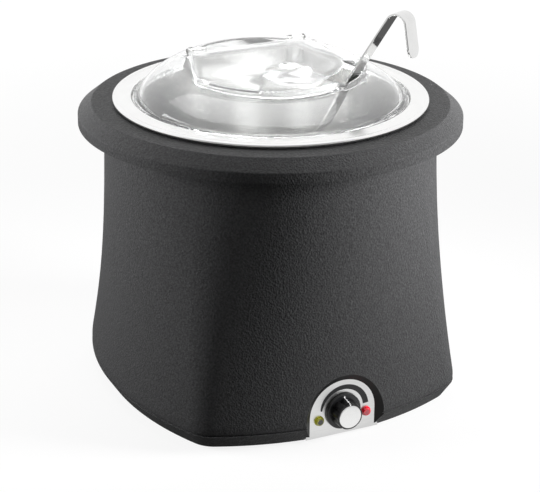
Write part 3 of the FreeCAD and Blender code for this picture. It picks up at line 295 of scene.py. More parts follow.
class KettleSizes(bpy.types.PropertyGroup):
    """Sizes that shape the looks without changing the part."""

    round_steps: bpy.props.IntProperty(
        name="Round steps", description="Points round each turned piece", default=224, min=48)
    flare_steps: bpy.props.IntProperty(
        name="Flare steps", description="Levels in the flared body", default=36, min=8)
    side_steps: bpy.props.IntProperty(
        name="Side steps", description="Points along each bowed side and each corner", default=28, min=8)
    grain_pitch: bpy.props.FloatProperty(
        name="Grain pitch", description="Spacing of the pebbles in the black moulding",
        default=1.6 * MM, unit="LENGTH")
    grain_depth: bpy.props.FloatProperty(
        name="Grain depth", description="Height of the pebbles in the black moulding",
        default=0.42 * MM, unit="LENGTH")
    dial_inner: bpy.props.FloatProperty(
        name="Dial radius", description="Inside radius of the printed heat wedge",
        default=20.6 * MM, unit="LENGTH")
    dial_width: bpy.props.FloatProperty(
        name="Dial width", description="Width of the heat wedge at its hot end",
        default=5.6 * MM, unit="LENGTH")


class KettleColours(bpy.types.PropertyGroup):
    """Colours that a user would change."""

    shell: bpy.props.FloatVectorProperty(
        name="Shell", description="Black moulding", subtype="COLOR", default=(0.044, 0.044, 0.045))
    steel: bpy.props.FloatVectorProperty(
        name="Steel", description="Stainless steel", subtype="COLOR", default=(0.74, 0.74, 0.735))
    lid: bpy.props.FloatVectorProperty(
        name="Lid", description="Clear lid", subtype="COLOR", default=(0.985, 0.99, 0.99))
    warm_lamp: bpy.props.FloatVectorProperty(
        name="Heating lamp", description="Yellow lens", subtype="COLOR", default=(0.62, 0.6, 0.03))
    live_lamp: bpy.props.FloatVectorProperty(
        name="Power lamp", description="Red lens", subtype="COLOR", default=(0.72, 0.012, 0.03))


# Outlines in radius and height
def rounded(corners):
    """Closed outline whose corners, given as (radius, height, rounding), are rounded off."""
    points = [Vector((x, z)) for x, z, _ in corners]
    outline = []
    for i, (_, _, radius) in enumerate(corners):
        here = points[i]
        if radius <= 0:
            outline.append(here)
            continue
        back = (points[i - 1] - here).normalized()
        ahead = (points[(i + 1) % len(points)] - here).normalized()
        half = back.angle(ahead) / 2
        centre = here + (back + ahead).normalized() * (radius / math.sin(half))
        arm = here + back * (radius / math.tan(half)) - centre
        turn = math.copysign(math.pi - 2 * half, ahead.x * back.y - ahead.y * back.x)
        for k in range(ARC_STEPS + 1):
            outline.append(centre + Matrix.Rotation(turn * k / ARC_STEPS, 2) @ arm)
    return outline


def skin(path, thickness):
    """Corner list of a sheet: the path and its copy moved to the left by the thickness."""
    moved = []
    last = len(path) - 1
    spots = [Vector((x, z)) for x, z, _ in path]
    for i, (x, z, radius) in enumerate(path):
        into = (spots[i] - spots[i - 1]).normalized() if i > 0 else None
        out = (spots[i + 1] - spots[i]).normalized() if i < last else into
        into = into or out
        left_in = Vector((-into.y, into.x))
        left_out = Vector((-out.y, out.x))
        step = (left_in + left_out) * (thickness / (1 + left_in.dot(left_out)))
        turn = into.x * out.y - into.y * out.x
        new_radius = max(radius - math.copysign(thickness, turn), 0) if radius > 0 else 0
        moved.append((x + step.x, z + step.y, new_radius))
    return path + moved[::-1]


# Meshes
def mesh_of(name, points, faces, place=None):
    """Mesh in metres from points in millimetres, with doubles merged and faces turned outwards."""
    mesh = bpy.data.meshes.new(name)
    mesh.from_pydata([tuple(c * MM for c in p) for p in points], [], faces)
    work = bmesh.new()
    work.from_mesh(mesh)
    bmesh.ops.remove_doubles(work, verts=work.verts, dist=MERGE_DISTANCE)
    bmesh.ops.dissolve_degenerate(work, edges=work.edges, dist=COLLAPSE_DISTANCE)
    bmesh.ops.recalc_face_normals(work, faces=work.faces)
    if place:
        bmesh.ops.transform(work, matrix=place, verts=work.verts)
    work.to_mesh(mesh)
    work.free()
    return mesh


def spun(outlines, steps, radius_at=None):
    """Points and faces of closed outlines spun about the upright axis."""
    points = []
    faces = []
    turns = [2 * math.pi * k / steps for k in range(steps)]
    for outline in outlines:
        rings = []
        for spot in outline:
            if spot.x < TINY:
                rings.append([len(points)] * steps)
                points.append((0, 0, spot.y))
                continue
            rings.append(list(range(len(points), len(points) + steps)))
            for a in turns:
                r = radius_at(spot.x, spot.y, a) if radius_at else spot.x
                points.append((r * math.cos(a), r * math.sin(a), spot.y))
        for i, ring in enumerate(rings):
            after = rings[(i + 1) % len(rings)]
            for k in range(steps):
                j = (k + 1) % steps
                corners = [ring[k], ring[j], after[j], after[k]]
                face = [c for n, c in enumerate(corners) if c not in corners[:n]]
                if len(face) > 2:
                    faces.append(face)
    return points, faces


def stacked(levels):
    """Points and faces of level outlines stacked on each other and capped at both ends."""
    size = len(levels[0])
    points = [p for level in levels for p in level]
    faces = []
    for low in range(0, len(points) - size, size):
        high = low + size
        for k in range(size):
            j = (k + 1) % size
            faces.append([low + k, low + j, high + j, high + k])
    faces.append(list(range(size)))
    faces.append(list(range(len(points) - size, len(points))))
    return points, faces


def new_object(name, mesh, finish=None):
    """Object in the scene with one finish."""
    piece = bpy.data.objects.new(name, mesh)
    bpy.context.scene.collection.objects.link(piece)
    if finish:
        mesh.materials.clear()
        mesh.materials.append(finish)
    return piece


def settle(piece, body, slot, *replaced):
    """Smooths a finished piece, lets it ride on its body and hides the imported parts that it replaces."""
    piece.data.shade_smooth()
    piece.data.set_sharp_from_angle(angle=SMOOTH_ANGLE)
    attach(piece, body)
    if replaced:
        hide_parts(*replaced)


def make_piece(name, shape, finish, body, slot, *replaced, place=None):
    """Finished piece made from points and faces."""
    settle(new_object(name, mesh_of(name, *shape, place=place), finish), body, slot, *replaced)


def apply_modifiers(piece, tool):
    """Turns a piece's modifiers into plain mesh and removes the tool that they used."""
    made = bpy.data.meshes.new_from_object(piece.evaluated_get(bpy.context.evaluated_depsgraph_get()))
    piece.modifiers.clear()
    piece.data = made
    bpy.data.objects.remove(tool)


def carve(target, cutter):
    """Cuts one closed mesh with another."""
    step = target.modifiers.new("Carve", "BOOLEAN")
    step.operation = "DIFFERENCE"
    step.solver = "EXACT"
    step.object = cutter
    apply_modifiers(target, cutter)


def copy_of(node):
    """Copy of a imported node's mesh with its loose triangles joined."""
    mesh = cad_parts[node].data.copy()
    mesh.name = node + "_smooth"
    work = bmesh.new()
    work.from_mesh(mesh)
    bmesh.ops.remove_doubles(work, verts=work.verts, dist=NODE_MERGE_DISTANCE)
    work.to_mesh(mesh)
    work.free()
    if mesh.has_custom_normals:
        mesh.normals_split_custom_set([(0, 0, 0)] * len(mesh.loops))
    return mesh


def forward_place(x, y, z):
    """Place of a piece made along the upright axis and turned to face the front."""
    return Matrix.Translation(Vector((x, y, z)) * MM) @ Matrix.Rotation(QUARTER, 4, "X")


# Node trees
def feed(tree, socket, value):
    """Links or sets one input."""
    if isinstance(value, bpy.types.NodeSocket):
        tree.links.new(value, socket)
    elif socket.type == "RGBA":
        socket.default_value = (*value[:3], 1)
    else:
        socket.default_value = value


def add(tree, kind, *values, output=0, options=None, **labelled):
    """Output of a new node, its first inputs and those labelled, with _ for a space, linked or set."""
    made = tree.nodes.new(kind)
    for key, value in (options or {}).items():
        setattr(made, key, value)
    for socket, value in zip(made.inputs, values):
        feed(tree, socket, value)
    for label, value in labelled.items():
        feed(tree, made.inputs[label.replace("_", " ")], value)
    return made.outputs[output]


def scatter_tree(source, finish):
    """Node tree that sets one copy of a piece on each point of its object."""
    tree = bpy.data.node_groups.new("Set on points", "GeometryNodeTree")
    tree.interface.new_socket("Geometry", in_out="INPUT", socket_type="NodeSocketGeometry")
    tree.interface.new_socket("Piece size", in_out="INPUT", socket_type="NodeSocketFloat")
    tree.interface.new_socket("Geometry", in_out="OUTPUT", socket_type="NodeSocketGeometry")
    start = tree.nodes.new("NodeGroupInput").outputs
    end = tree.nodes.new("NodeGroupOutput").inputs
    piece = add(tree, "GeometryNodeObjectInfo", output="Geometry", Object=source)
    spots = add(tree, "GeometryNodeMeshToPoints", Mesh=start["Geometry"])
    copies = add(tree, "GeometryNodeInstanceOnPoints", Points=spots, Instance=piece,
                 Scale=start["Piece size"])
    real = add(tree, "GeometryNodeRealizeInstances", Geometry=copies)
    tree.links.new(add(tree, "GeometryNodeSetMaterial", Geometry=real, Material=finish), end["Geometry"])
    return tree


def scattered(name, source_mesh, spots, finish):
    """One object with a copy of the source on each spot, made by Geometry Nodes."""
    source = new_object(name + "_source", source_mesh)
    holder = new_object(name, mesh_of(name + "_spots", spots, []))
    tree = scatter_tree(source, finish)
    step = holder.modifiers.new("Set on points", "NODES")
    step.node_group = tree
    size_socket = next(i for i in tree.interface.items_tree if i.name == "Piece size")
    step[size_socket.identifier] = 1.0
    apply_modifiers(holder, source)
    return holder


# Finishes
class Finish:
    """A material with one shader and short calls for the nodes that feed it."""

    def __init__(self, name, **values):
        self.material = bpy.data.materials.new(name)
        self.material.use_nodes = True
        self.tree = self.material.node_tree
        self.shader = self.tree.nodes["Principled BSDF"]
        self.coords = self.node("ShaderNodeTexCoord", output="Object")
        self.put(**values)

    def put(self, **values):
        """Links or sets the shader's inputs."""
        for label, value in values.items():
            feed(self.tree, self.shader.inputs[label.replace("_", " ")], value)

    def node(self, kind, **values):
        """Output of a new node with its options and inputs set."""
        return add(self.tree, kind, **values)

    def placed(self, centre=(0, 0, 0), stretch=EVEN):
        """Object coordinates about a centre given in millimetres, stretched."""
        shift = [-c * MM * s for c, s in zip(centre, stretch)]
        return self.node("ShaderNodeMapping", Vector=self.coords, Location=shift, Scale=stretch)

    def noise(self, scale, detail=3.0, roughness=0.5, stretch=None):
        """Cloudy pattern."""
        where = self.placed(stretch=stretch) if stretch else self.coords
        return self.node("ShaderNodeTexNoise", Vector=where, Scale=scale, Detail=detail, Roughness=roughness)

    def ramp(self, value, stops):
        """Colours along a value."""
        made = self.tree.nodes.new("ShaderNodeValToRGB")
        self.tree.links.new(value, made.inputs["Fac"])
        band = made.color_ramp
        while len(band.elements) < len(stops):
            band.elements.new(stops[-1][0])
        for element, (place, colour) in zip(band.elements, stops):
            element.position = place
            element.color = (*colour[:3], 1)
        return made.outputs["Color"]

    def tones(self, value, colour, low, high, start=0.3, end=0.7):
        """Base colour from a darker to a lighter shade along a pattern."""
        self.put(Base_Color=self.ramp(value, [(start, shade(colour, low)), (end, shade(colour, high))]))

    def gloss(self, value, middle, below, above, start=0.3, end=0.7):
        """Roughness that follows a pattern about a middle value."""
        self.put(Roughness=self.node("ShaderNodeMapRange", Value=value, From_Min=start, From_Max=end,
                                     To_Min=middle - below, To_Max=middle + above))

    def relief(self, height, distance, strength, **under):
        """Normal raised by a pattern, on top of another normal where one is given."""
        return self.node("ShaderNodeBump", Height=height, Distance=distance, Strength=strength, **under)

    def bumps(self, scale, height, strength):
        """Normal with fine bumps of a height in millimetres."""
        self.put(Normal=self.relief(self.noise(scale, detail=2.0), height * MM, strength))


def shade(colour, amount):
    """Colour made darker or lighter."""
    return tuple(min(max(c * amount, 0), 1) for c in colour)


def moulding(name, colour, roughness):
    """Black moulded plastic with a fine pebble grain."""
    pitch = bpy.context.scene.kettle_sizes.grain_pitch
    depth = bpy.context.scene.kettle_sizes.grain_depth
    made = Finish(name, Specular_IOR_Level=0.13)
    dust = made.noise(scale=DUST_PER_PITCH / pitch, detail=2.0)
    made.tones(dust, colour, low=0.7, high=1.3)
    made.gloss(made.noise(scale=PATCHES_PER_PITCH / pitch), roughness, below=0.06, above=0.08)
    pebble = made.node("ShaderNodeTexVoronoi", options={"feature": "SMOOTH_F1"}, Vector=made.coords,
                       Scale=1 / pitch, Smoothness=0.6)
    pebbles = made.relief(pebble, distance=depth, strength=0.8)
    made.put(Normal=made.relief(dust, distance=depth * DUST_HEIGHT, strength=0.6, Normal=pebbles))
    return made.material


def plain_plastic(name, colour, roughness, specular=0.5):
    """Small moulding with a faint flow pattern."""
    made = Finish(name, Specular_IOR_Level=specular)
    flow = made.noise(scale=160.0)
    made.tones(flow, colour, low=0.88, high=1.12)
    made.gloss(flow, roughness, below=0.05, above=0.06)
    made.bumps(scale=1800.0, height=0.03, strength=0.4)
    return made.material


def steel(name, colour, roughness, stretch=EVEN, scale=900.0, depth=0.012, tone=0.06):
    """Metal with fine marks drawn out along the directions that the stretch leaves small."""
    made = Finish(name, Metallic=1.0)
    marks = made.noise(scale=scale, detail=4.0, roughness=0.6, stretch=stretch)
    cloud = made.noise(scale=14.0, detail=2.0)
    made.tones(marks, colour, low=1 - tone, high=1 + tone)
    made.gloss(cloud, roughness, below=0.02, above=0.02, start=0.2, end=0.8)
    made.put(Normal=made.relief(marks, distance=depth * MM, strength=0.5))
    return made.material


def turned_metal(name, colour, roughness, centre, pitch):
    """Metal face with fine turning rings about an axis that points to the front."""
    made = Finish(name, Metallic=1.0, Anisotropic=0.5)
    rings = made.node("ShaderNodeTexWave", options={"wave_type": "RINGS", "rings_direction": "Y"}, output=1,
                      Vector=made.placed(centre), Scale=RINGS_PER_PITCH / pitch, Distortion=0.6, Detail=2.0)
    made.tones(rings, colour, low=0.93, high=1.05, start=0.2, end=0.8)
    made.gloss(made.noise(scale=300.0), roughness, below=0.04, above=0.05)
    made.put(Normal=made.relief(rings, distance=0.002 * MM, strength=0.5))
    return made.material


def lens(name, colour, core, centre):
    """Coloured lamp lens, darker where the lamp shows in its middle."""
    made = Finish(name, Roughness=0.12, Coat_Weight=1.0, Coat_Roughness=0.04, Specular_IOR_Level=0.5,
                  Emission_Strength=0.22)
    across = 1 / (LENS_RADIUS * MM)
    along = across * LENS_DEPTH_STRETCH
    glow = made.node("ShaderNodeTexGradient", options={"gradient_type": "SPHERICAL"}, output=1,
                     Vector=made.placed(centre, (across, along, across)))
    made.put(Base_Color=made.ramp(glow, [
        (0.0, shade(colour, LENS_EDGE_SHADE)), (LENS_RING, colour), (LENS_CORE, core)]))
    made.put(Emission_Color=made.ramp(glow, [
        (0.0, shade(colour, LENS_GLOW_SHADE)), (LENS_RING, colour), (LENS_GLOW_END, UNLIT)]))
    made.bumps(scale=900.0, height=0.03, strength=0.3)
    return made.material


def clear_plastic(name, colour, haze, roughness):
    """Clear moulded plastic with a faint ripple and fine wiping haze."""
    made = Finish(name, Base_Color=colour, Transmission_Weight=1.0 - haze, IOR=1.46, Specular_IOR_Level=0.5)
    made.gloss(made.noise(scale=60.0), roughness, below=0.0, above=0.05)
    made.bumps(scale=24.0, height=0.12, strength=0.25)
    shadow = made.node("ShaderNodeLightPath", output="Is Shadow Ray")
    through = made.node("ShaderNodeBsdfTransparent")
    surface = add(made.tree, "ShaderNodeMixShader", shadow, made.shader.outputs[0], through)
    made.tree.links.new(surface, made.tree.nodes["Material Output"].inputs["Surface"])
    return made.material


def rubber(name, colour):
    """Soft matt rubber with a pale bloom."""
    made = Finish(name, Roughness=0.75, Specular_IOR_Level=0.25)
    made.tones(made.noise(scale=240.0, detail=4.0), colour, low=0.8, high=1.5, end=0.75)
    made.bumps(scale=1400.0, height=0.05, strength=0.5)
    return made.material


def finish_nodes(finish, *nodes):
    """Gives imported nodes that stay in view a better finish."""
    for name in nodes:
        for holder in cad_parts[name].material_slots:
            holder.link = "OBJECT"
            holder.material = finish


# Body
def bowed_outline(half, reach, corner, z, steps):
    """Level outline of four bowed sides and four round corners."""
    if reach - half < TINY:
        side_radius = half
        split = math.radians(ROUND_SPLIT)
        corner = half
        offset = 0
    else:
        offset = (reach - corner) / math.sqrt(2)
        rise = offset - half + corner
        side_radius = (corner ** 2 - 2 * offset ** 2 + 2 * offset * half - half ** 2) / (2 * rise)
        split = math.atan2(offset, offset + side_radius - half)
    points = []
    for turn in (0, QUARTER, 2 * QUARTER, 3 * QUARTER):
        side = (half - side_radius, turn, side_radius, turn - split, 2 * split)
        bend = (offset * math.sqrt(2), turn + QUARTER / 2, corner, turn + split, QUARTER - 2 * split)
        for away, heading, radius, start, sweep in (side, bend):
            for k in range(steps):
                a = start + sweep * k / steps
                points.append((away * math.cos(heading) + radius * math.cos(a),
                               away * math.sin(heading) + radius * math.sin(a), z))
    return points


def body_outline(drop, inset, steps):
    """Outline of the flared body at a share of the way down to its bevel."""
    half = SHELL_TOP_RADIUS + (BASE_HALF_WIDTH - SHELL_TOP_RADIUS) * drop ** SIDE_FLARE_POWER
    reach = SHELL_TOP_RADIUS + (BASE_CORNER_REACH - SHELL_TOP_RADIUS) * drop ** CORNER_FLARE_POWER
    squareness = (reach / half - 1) / (BASE_CORNER_REACH / BASE_HALF_WIDTH - 1)
    corner = half + (BASE_CORNER_RADIUS - half) * math.sqrt(min(max(squareness, 0), 1))
    z = COLLAR_BOTTOM - drop * (SHELL_HEIGHT - BEVEL_HEIGHT)
    return bowed_outline(half - inset, reach - inset, corner - inset, z, steps)


def base_outline(inset, z, steps):
    """Outline of the body's foot, drawn in."""
    corner = BASE_CORNER_RADIUS - inset
    return bowed_outline(BASE_HALF_WIDTH - inset, BASE_CORNER_REACH - inset, corner, z, steps)


def body_levels(inset, levels, steps, overrun=0.0):
    """Outlines of the body from its neck down to its bevelled foot, or of its hollow where inset."""
    outer = inset == 0
    neck = SHELL_TOP_RADIUS - inset
    outlines = [bowed_outline(neck, neck, neck, COLLAR_TOP - COLLAR_WALL + overrun, steps)]
    drops = [(i / levels, inset) for i in range(levels + 1)]
    if outer:
        roll = ROLL_HEIGHT / (SHELL_HEIGHT - BEVEL_HEIGHT)
        drops = [(drop, 0) for drop, _ in drops if drop < 1 - roll]
        for k in range(ROLL_STEPS + 1):
            turn = QUARTER * k / ROLL_STEPS
            drops.append((1 - roll + roll * math.sin(turn), ROLL_INSET * (1 - math.cos(turn))))
    outlines += [body_outline(drop, depth, steps) for drop, depth in drops]
    if outer:
        outlines.append(base_outline(GROOVE_DEPTH, BEVEL_TOP - GROOVE_LIP, steps))
        outlines.append(base_outline(GROOVE_DEPTH, BEVEL_TOP - GROOVE_HEIGHT / 2, steps))
    outlines.append(base_outline(BEVEL_STEP + inset, BEVEL_TOP - GROOVE_HEIGHT, steps))
    outlines.append(base_outline(BEVEL_INSET + inset, SHELL_BOTTOM - overrun, steps))
    return outlines


def arch_outline(radius, spring, y):
    """Upright arch that runs down past the foot of the shell."""
    top = SHELL_BOTTOM + spring
    foot = SHELL_BOTTOM - BEVEL_HEIGHT
    points = [(-radius, y, foot)]
    for k in range(ARCH_STEPS + 1):
        a = math.pi * (1 - k / ARCH_STEPS)
        points.append((radius * math.cos(a), y, top + radius * math.sin(a)))
    points.append((radius, y, foot))
    return points


def arch_block(name, first, second):
    """Block between two arches, each given as (radius, spring, plane)."""
    return new_object(name, mesh_of(name, *stacked([arch_outline(*first), arch_outline(*second)])))


def in_recess(face):
    """Whether a face of the body belongs to the flared wall round the control panel, which takes the painted
    shade.
    """
    x, y, z = face.center / MM
    spring = SHELL_BOTTOM + ARCH_MOUTH_SPRING
    if abs(x) > ARCH_MOUTH_RADIUS or z > spring + ARCH_MOUTH_RADIUS:
        return False
    if not PANEL_Y - ARCH_MOUTH_REACH < y < PANEL_Y + PANEL_THICKNESS:
        return False
    inwards = Vector((-x, 0, min(spring - z, 0))).normalized()
    return face.normal.dot(inwards) > RECESS_FACING


class KETTLE_OT_body_shell(bpy.types.Operator):
    """Flared black body with its arched recess and the pad for the cord's way in"""

    bl_idname = "kettle.body_shell"
    bl_label = "Body shell"

    def execute(self, context):
        sizes = context.scene.kettle_sizes
        finish = moulding("pebble_black", context.scene.kettle_colours.shell, roughness=0.54)
        outside = stacked(body_levels(0, sizes.flare_steps, sizes.side_steps))
        inside = stacked(body_levels(SHELL_WALL, HOLLOW_LEVELS, HOLLOW_SIDE_STEPS, HOLLOW_OVERRUN))
        shell = new_object("body_shell", mesh_of("body_shell", *outside))
        hollow = new_object("body_hollow", mesh_of("body_hollow", *inside))
        around = ARCH_RADIUS + ARCH_SURROUND
        carve(hollow, arch_block("arch_surround", (around, ARCH_SPRING, PANEL_Y),
                                 (around, ARCH_SPRING, PANEL_Y - ARCH_SURROUND_REACH)))
        carve(shell, hollow)
        carve(shell, arch_block("arch_mouth", (ARCH_RADIUS, ARCH_SPRING, PANEL_Y + PANEL_THICKNESS / 2),
                                (ARCH_MOUTH_RADIUS, ARCH_MOUTH_SPRING, PANEL_Y - ARCH_MOUTH_REACH)))
        lap = ARCH_RADIUS + ARCH_LAP + FIT_GAP
        carve(shell, arch_block("arch_slot", (lap, ARCH_SPRING, PANEL_Y),
                                (lap, ARCH_SPRING, PANEL_Y + BEVEL_INSET)))
        # Painted shade: the flared wall of the recess gets a far darker black than the shell's moulding,
        # standing for the shade that falls in the recess.
        recess = plain_plastic("recess_painted_shade", (0.006, 0.006, 0.006), roughness=0.42, specular=0.2)
        shell.data.materials.clear()
        shell.data.materials.append(finish)
        shell.data.materials.append(recess)
        for face in shell.data.polygons:
            face.material_index = int(in_recess(face))
        settle(shell, "kettle_body", "shell_plastic", "outer_shell")
        pad = rounded([
            (GLAND_HOLE_RADIUS, 0, 0),
            (GLAND_PAD_RADIUS, 0, GLAND_PAD_ROUND),
            (GLAND_PAD_RADIUS, SHELL_WALL, 0),
            (GLAND_HOLE_RADIUS, SHELL_WALL, 0),
        ])
        place = forward_place(0, BASE_HALF_WIDTH + GLAND_PAD_PROUD, SHELL_BOTTOM + GLAND_HEIGHT)
        make_piece("cord_pad", spun([pad], SMALL_ROUND_STEPS), finish,
                   "kettle_body", "shell_plastic", place=place)
        return {"FINISHED"}


class KETTLE_OT_collar(bpy.types.Operator):
    """Overhanging black collar with a hollow underside, and the seal under the well's flange"""

    bl_idname = "kettle.collar"
    bl_label = "Collar"

    def execute(self, context):
        finish = moulding("pebble_collar", context.scene.kettle_colours.shell, roughness=0.46)
        seat = COLLAR_TOP - WELL_WALL - SEAL_THICKNESS
        seat_radius = WELL_FLANGE_RADIUS + FIT_GAP
        path = [
            (COLLAR_BORE, seat - COLLAR_LIP, 0),
            (COLLAR_BORE, seat, 0),
            (seat_radius, seat, 0),
            (seat_radius, COLLAR_TOP, 0),
            (COLLAR_RADIUS - COLLAR_CHAMFER, COLLAR_TOP, COLLAR_ROUND),
            (COLLAR_RADIUS, COLLAR_TOP - COLLAR_RISE, COLLAR_ROUND),
            (COLLAR_RADIUS, COLLAR_BOTTOM, 0),
        ]
        spigot = SHELL_TOP_RADIUS - SHELL_WALL - FIT_GAP
        ceiling = COLLAR_TOP - COLLAR_WALL
        tube = [
            (spigot - SPIGOT_WALL, COLLAR_BOTTOM, 0),
            (spigot, COLLAR_BOTTOM, 0),
            (spigot, ceiling, 0),
            (spigot - SPIGOT_WALL, ceiling, 0),
        ]
        outlines = [rounded(skin(path, -COLLAR_WALL)), rounded(tube)]
        ring = spun(outlines, context.scene.kettle_sizes.round_steps)
        make_piece("collar", ring, finish, "kettle_body", "shell_plastic", "top_collar")
        finish_nodes(rubber("silicone_grey", (0.3, 0.29, 0.28)), "well_seal")
        return {"FINISHED"}


class KETTLE_OT_vessels(bpy.types.Operator):
    """Lift-out steel pot with its rolled rim, and the water well under it"""

    bl_idname = "kettle.vessels"
    bl_label = "Pot and well"

    def execute(self, context):
        steps = context.scene.kettle_sizes.round_steps
        colour = context.scene.kettle_colours.steel
        # Painted light: the pot's steel is made lighter than the shared steel colour.
        spun_steel_painted_light = steel("spun_steel_painted_light", shade(colour, POT_PAINTED_LIGHT), roughness=0.2,
                           stretch=ROUND_AND_ROUND, depth=0.004, tone=0.025)
        # Painted shade: the well's steel is made darker than the shared steel colour.
        drawn_steel_painted_shade = steel("drawn_steel_painted_shade", shade(colour, WELL_PAINTED_SHADE), roughness=0.34,
                            stretch=ROUND_AND_ROUND, scale=700.0, depth=0.004, tone=0.03)
        bead_radius = RIM_RADIUS - RIM_BEAD
        pot_floor = SHELL_BOTTOM + POT_FLOOR
        pot_path = [
            (0, pot_floor, 0),
            (POT_RADIUS, pot_floor, POT_CORNER),
            (POT_RADIUS, LEDGE_Z, POT_STEP_ROUND),
            (LEDGE_RADIUS, LEDGE_Z, LEDGE_ROUND),
            (RIM_INNER_RADIUS, RIM_TOP, RIM_INNER_ROUND),
            (bead_radius - 2 * RIM_BEAD, RIM_TOP - RIM_DIP, RIM_DIP_ROUND),
            (bead_radius, RIM_TOP - RIM_BEAD / 2, 0),
        ]
        bead = []
        for k in range(RIM_BEAD_STEPS):
            a = 2 * math.pi * k / RIM_BEAD_STEPS
            height = RIM_TOP - RIM_BEAD + RIM_BEAD * math.sin(a)
            bead.append(Vector((bead_radius + RIM_BEAD * math.cos(a), height)))
        pot = spun([rounded(skin(pot_path, -POT_WALL)), bead], steps)
        make_piece("steel_pot", pot, spun_steel_painted_light, "pot", "pot_steel", "soup_pot")
        well_floor = SHELL_BOTTOM + WELL_FLOOR
        well_path = [
            (0, well_floor, 0),
            (WELL_RADIUS, well_floor, WELL_CORNER),
            (WELL_RADIUS, COLLAR_TOP, WELL_FLANGE_ROUND),
            (WELL_FLANGE_RADIUS, COLLAR_TOP, 0),
        ]
        well = spun([rounded(skin(well_path, -WELL_WALL))], steps)
        make_piece("steel_well", well, drawn_steel_painted_shade, "kettle_body", "well_steel", "water_well")
        return {"FINISHED"}


# Controls
def flute_radius(radius, height, angle):
    """Radius of the knob's grip at an angle, drawn in where a flute passes."""
    if height <= KNOB_SKIRT_THICKNESS + KNOB_FLUTE_FOOT or radius < CAP_RADIUS + KNOB_FLUTE_INNER:
        return radius
    orbit = KNOB_GRIP_RADIUS + KNOB_FLUTE_RADIUS - KNOB_FLUTE_DEPTH
    pitch = 2 * math.pi / KNOB_FLUTES
    off = (angle - QUARTER) % pitch - pitch / 2
    reach = KNOB_FLUTE_RADIUS ** 2 - (orbit * math.sin(off)) ** 2
    if reach <= 0:
        return radius
    return min(radius, orbit * math.cos(off) - math.sqrt(reach))


def heat_wedge(inner, width):
    """Printed wedge that widens from the cool end of the dial to the hot end."""
    levels = []
    front = PANEL_Y - WEDGE_PROUD
    back = front + WEDGE_THICKNESS
    for k in range(WEDGE_STEPS + 1):
        share = k / WEDGE_STEPS
        turn = math.radians(WEDGE_START - WEDGE_SWEEP * share)
        outer = inner + width * (WEDGE_TIP + (1 - WEDGE_TIP) * math.sqrt(share))
        ring = ((inner, front), (outer, front), (outer, back), (inner, back))
        levels.append([(r * math.cos(turn), y, KNOB_Z + r * math.sin(turn)) for r, y in ring])
    return stacked(levels)


def pointer_shape():
    """White line that runs from the knob's skirt up its grip to its face."""
    skirt_top = KNOB_SKIRT_THICKNESS + POINTER_SKIRT_PROUD
    grip_top = KNOB_LENGTH + POINTER_TOP_PROUD
    line = [
        (KNOB_SKIRT_RADIUS - POINTER_SKIRT_INSET, skirt_top),
        (KNOB_GRIP_RADIUS + POINTER_SIDE_PROUD, skirt_top),
        (KNOB_GRIP_TOP_RADIUS + POINTER_SIDE_PROUD, KNOB_LENGTH - POINTER_TOP_DROP),
        (KNOB_GRIP_TOP_RADIUS - POINTER_TOP_INSET, grip_top),
        (CAP_RADIUS + POINTER_CAP_GAP, grip_top),
    ]
    under = [(r - POINTER_DEPTH, z - POINTER_DEPTH) for r, z in line]
    edge = line + under[::-1]
    return stacked([[(x, r, z) for r, z in edge] for x in (-POINTER_WIDTH / 2, POINTER_WIDTH / 2)])


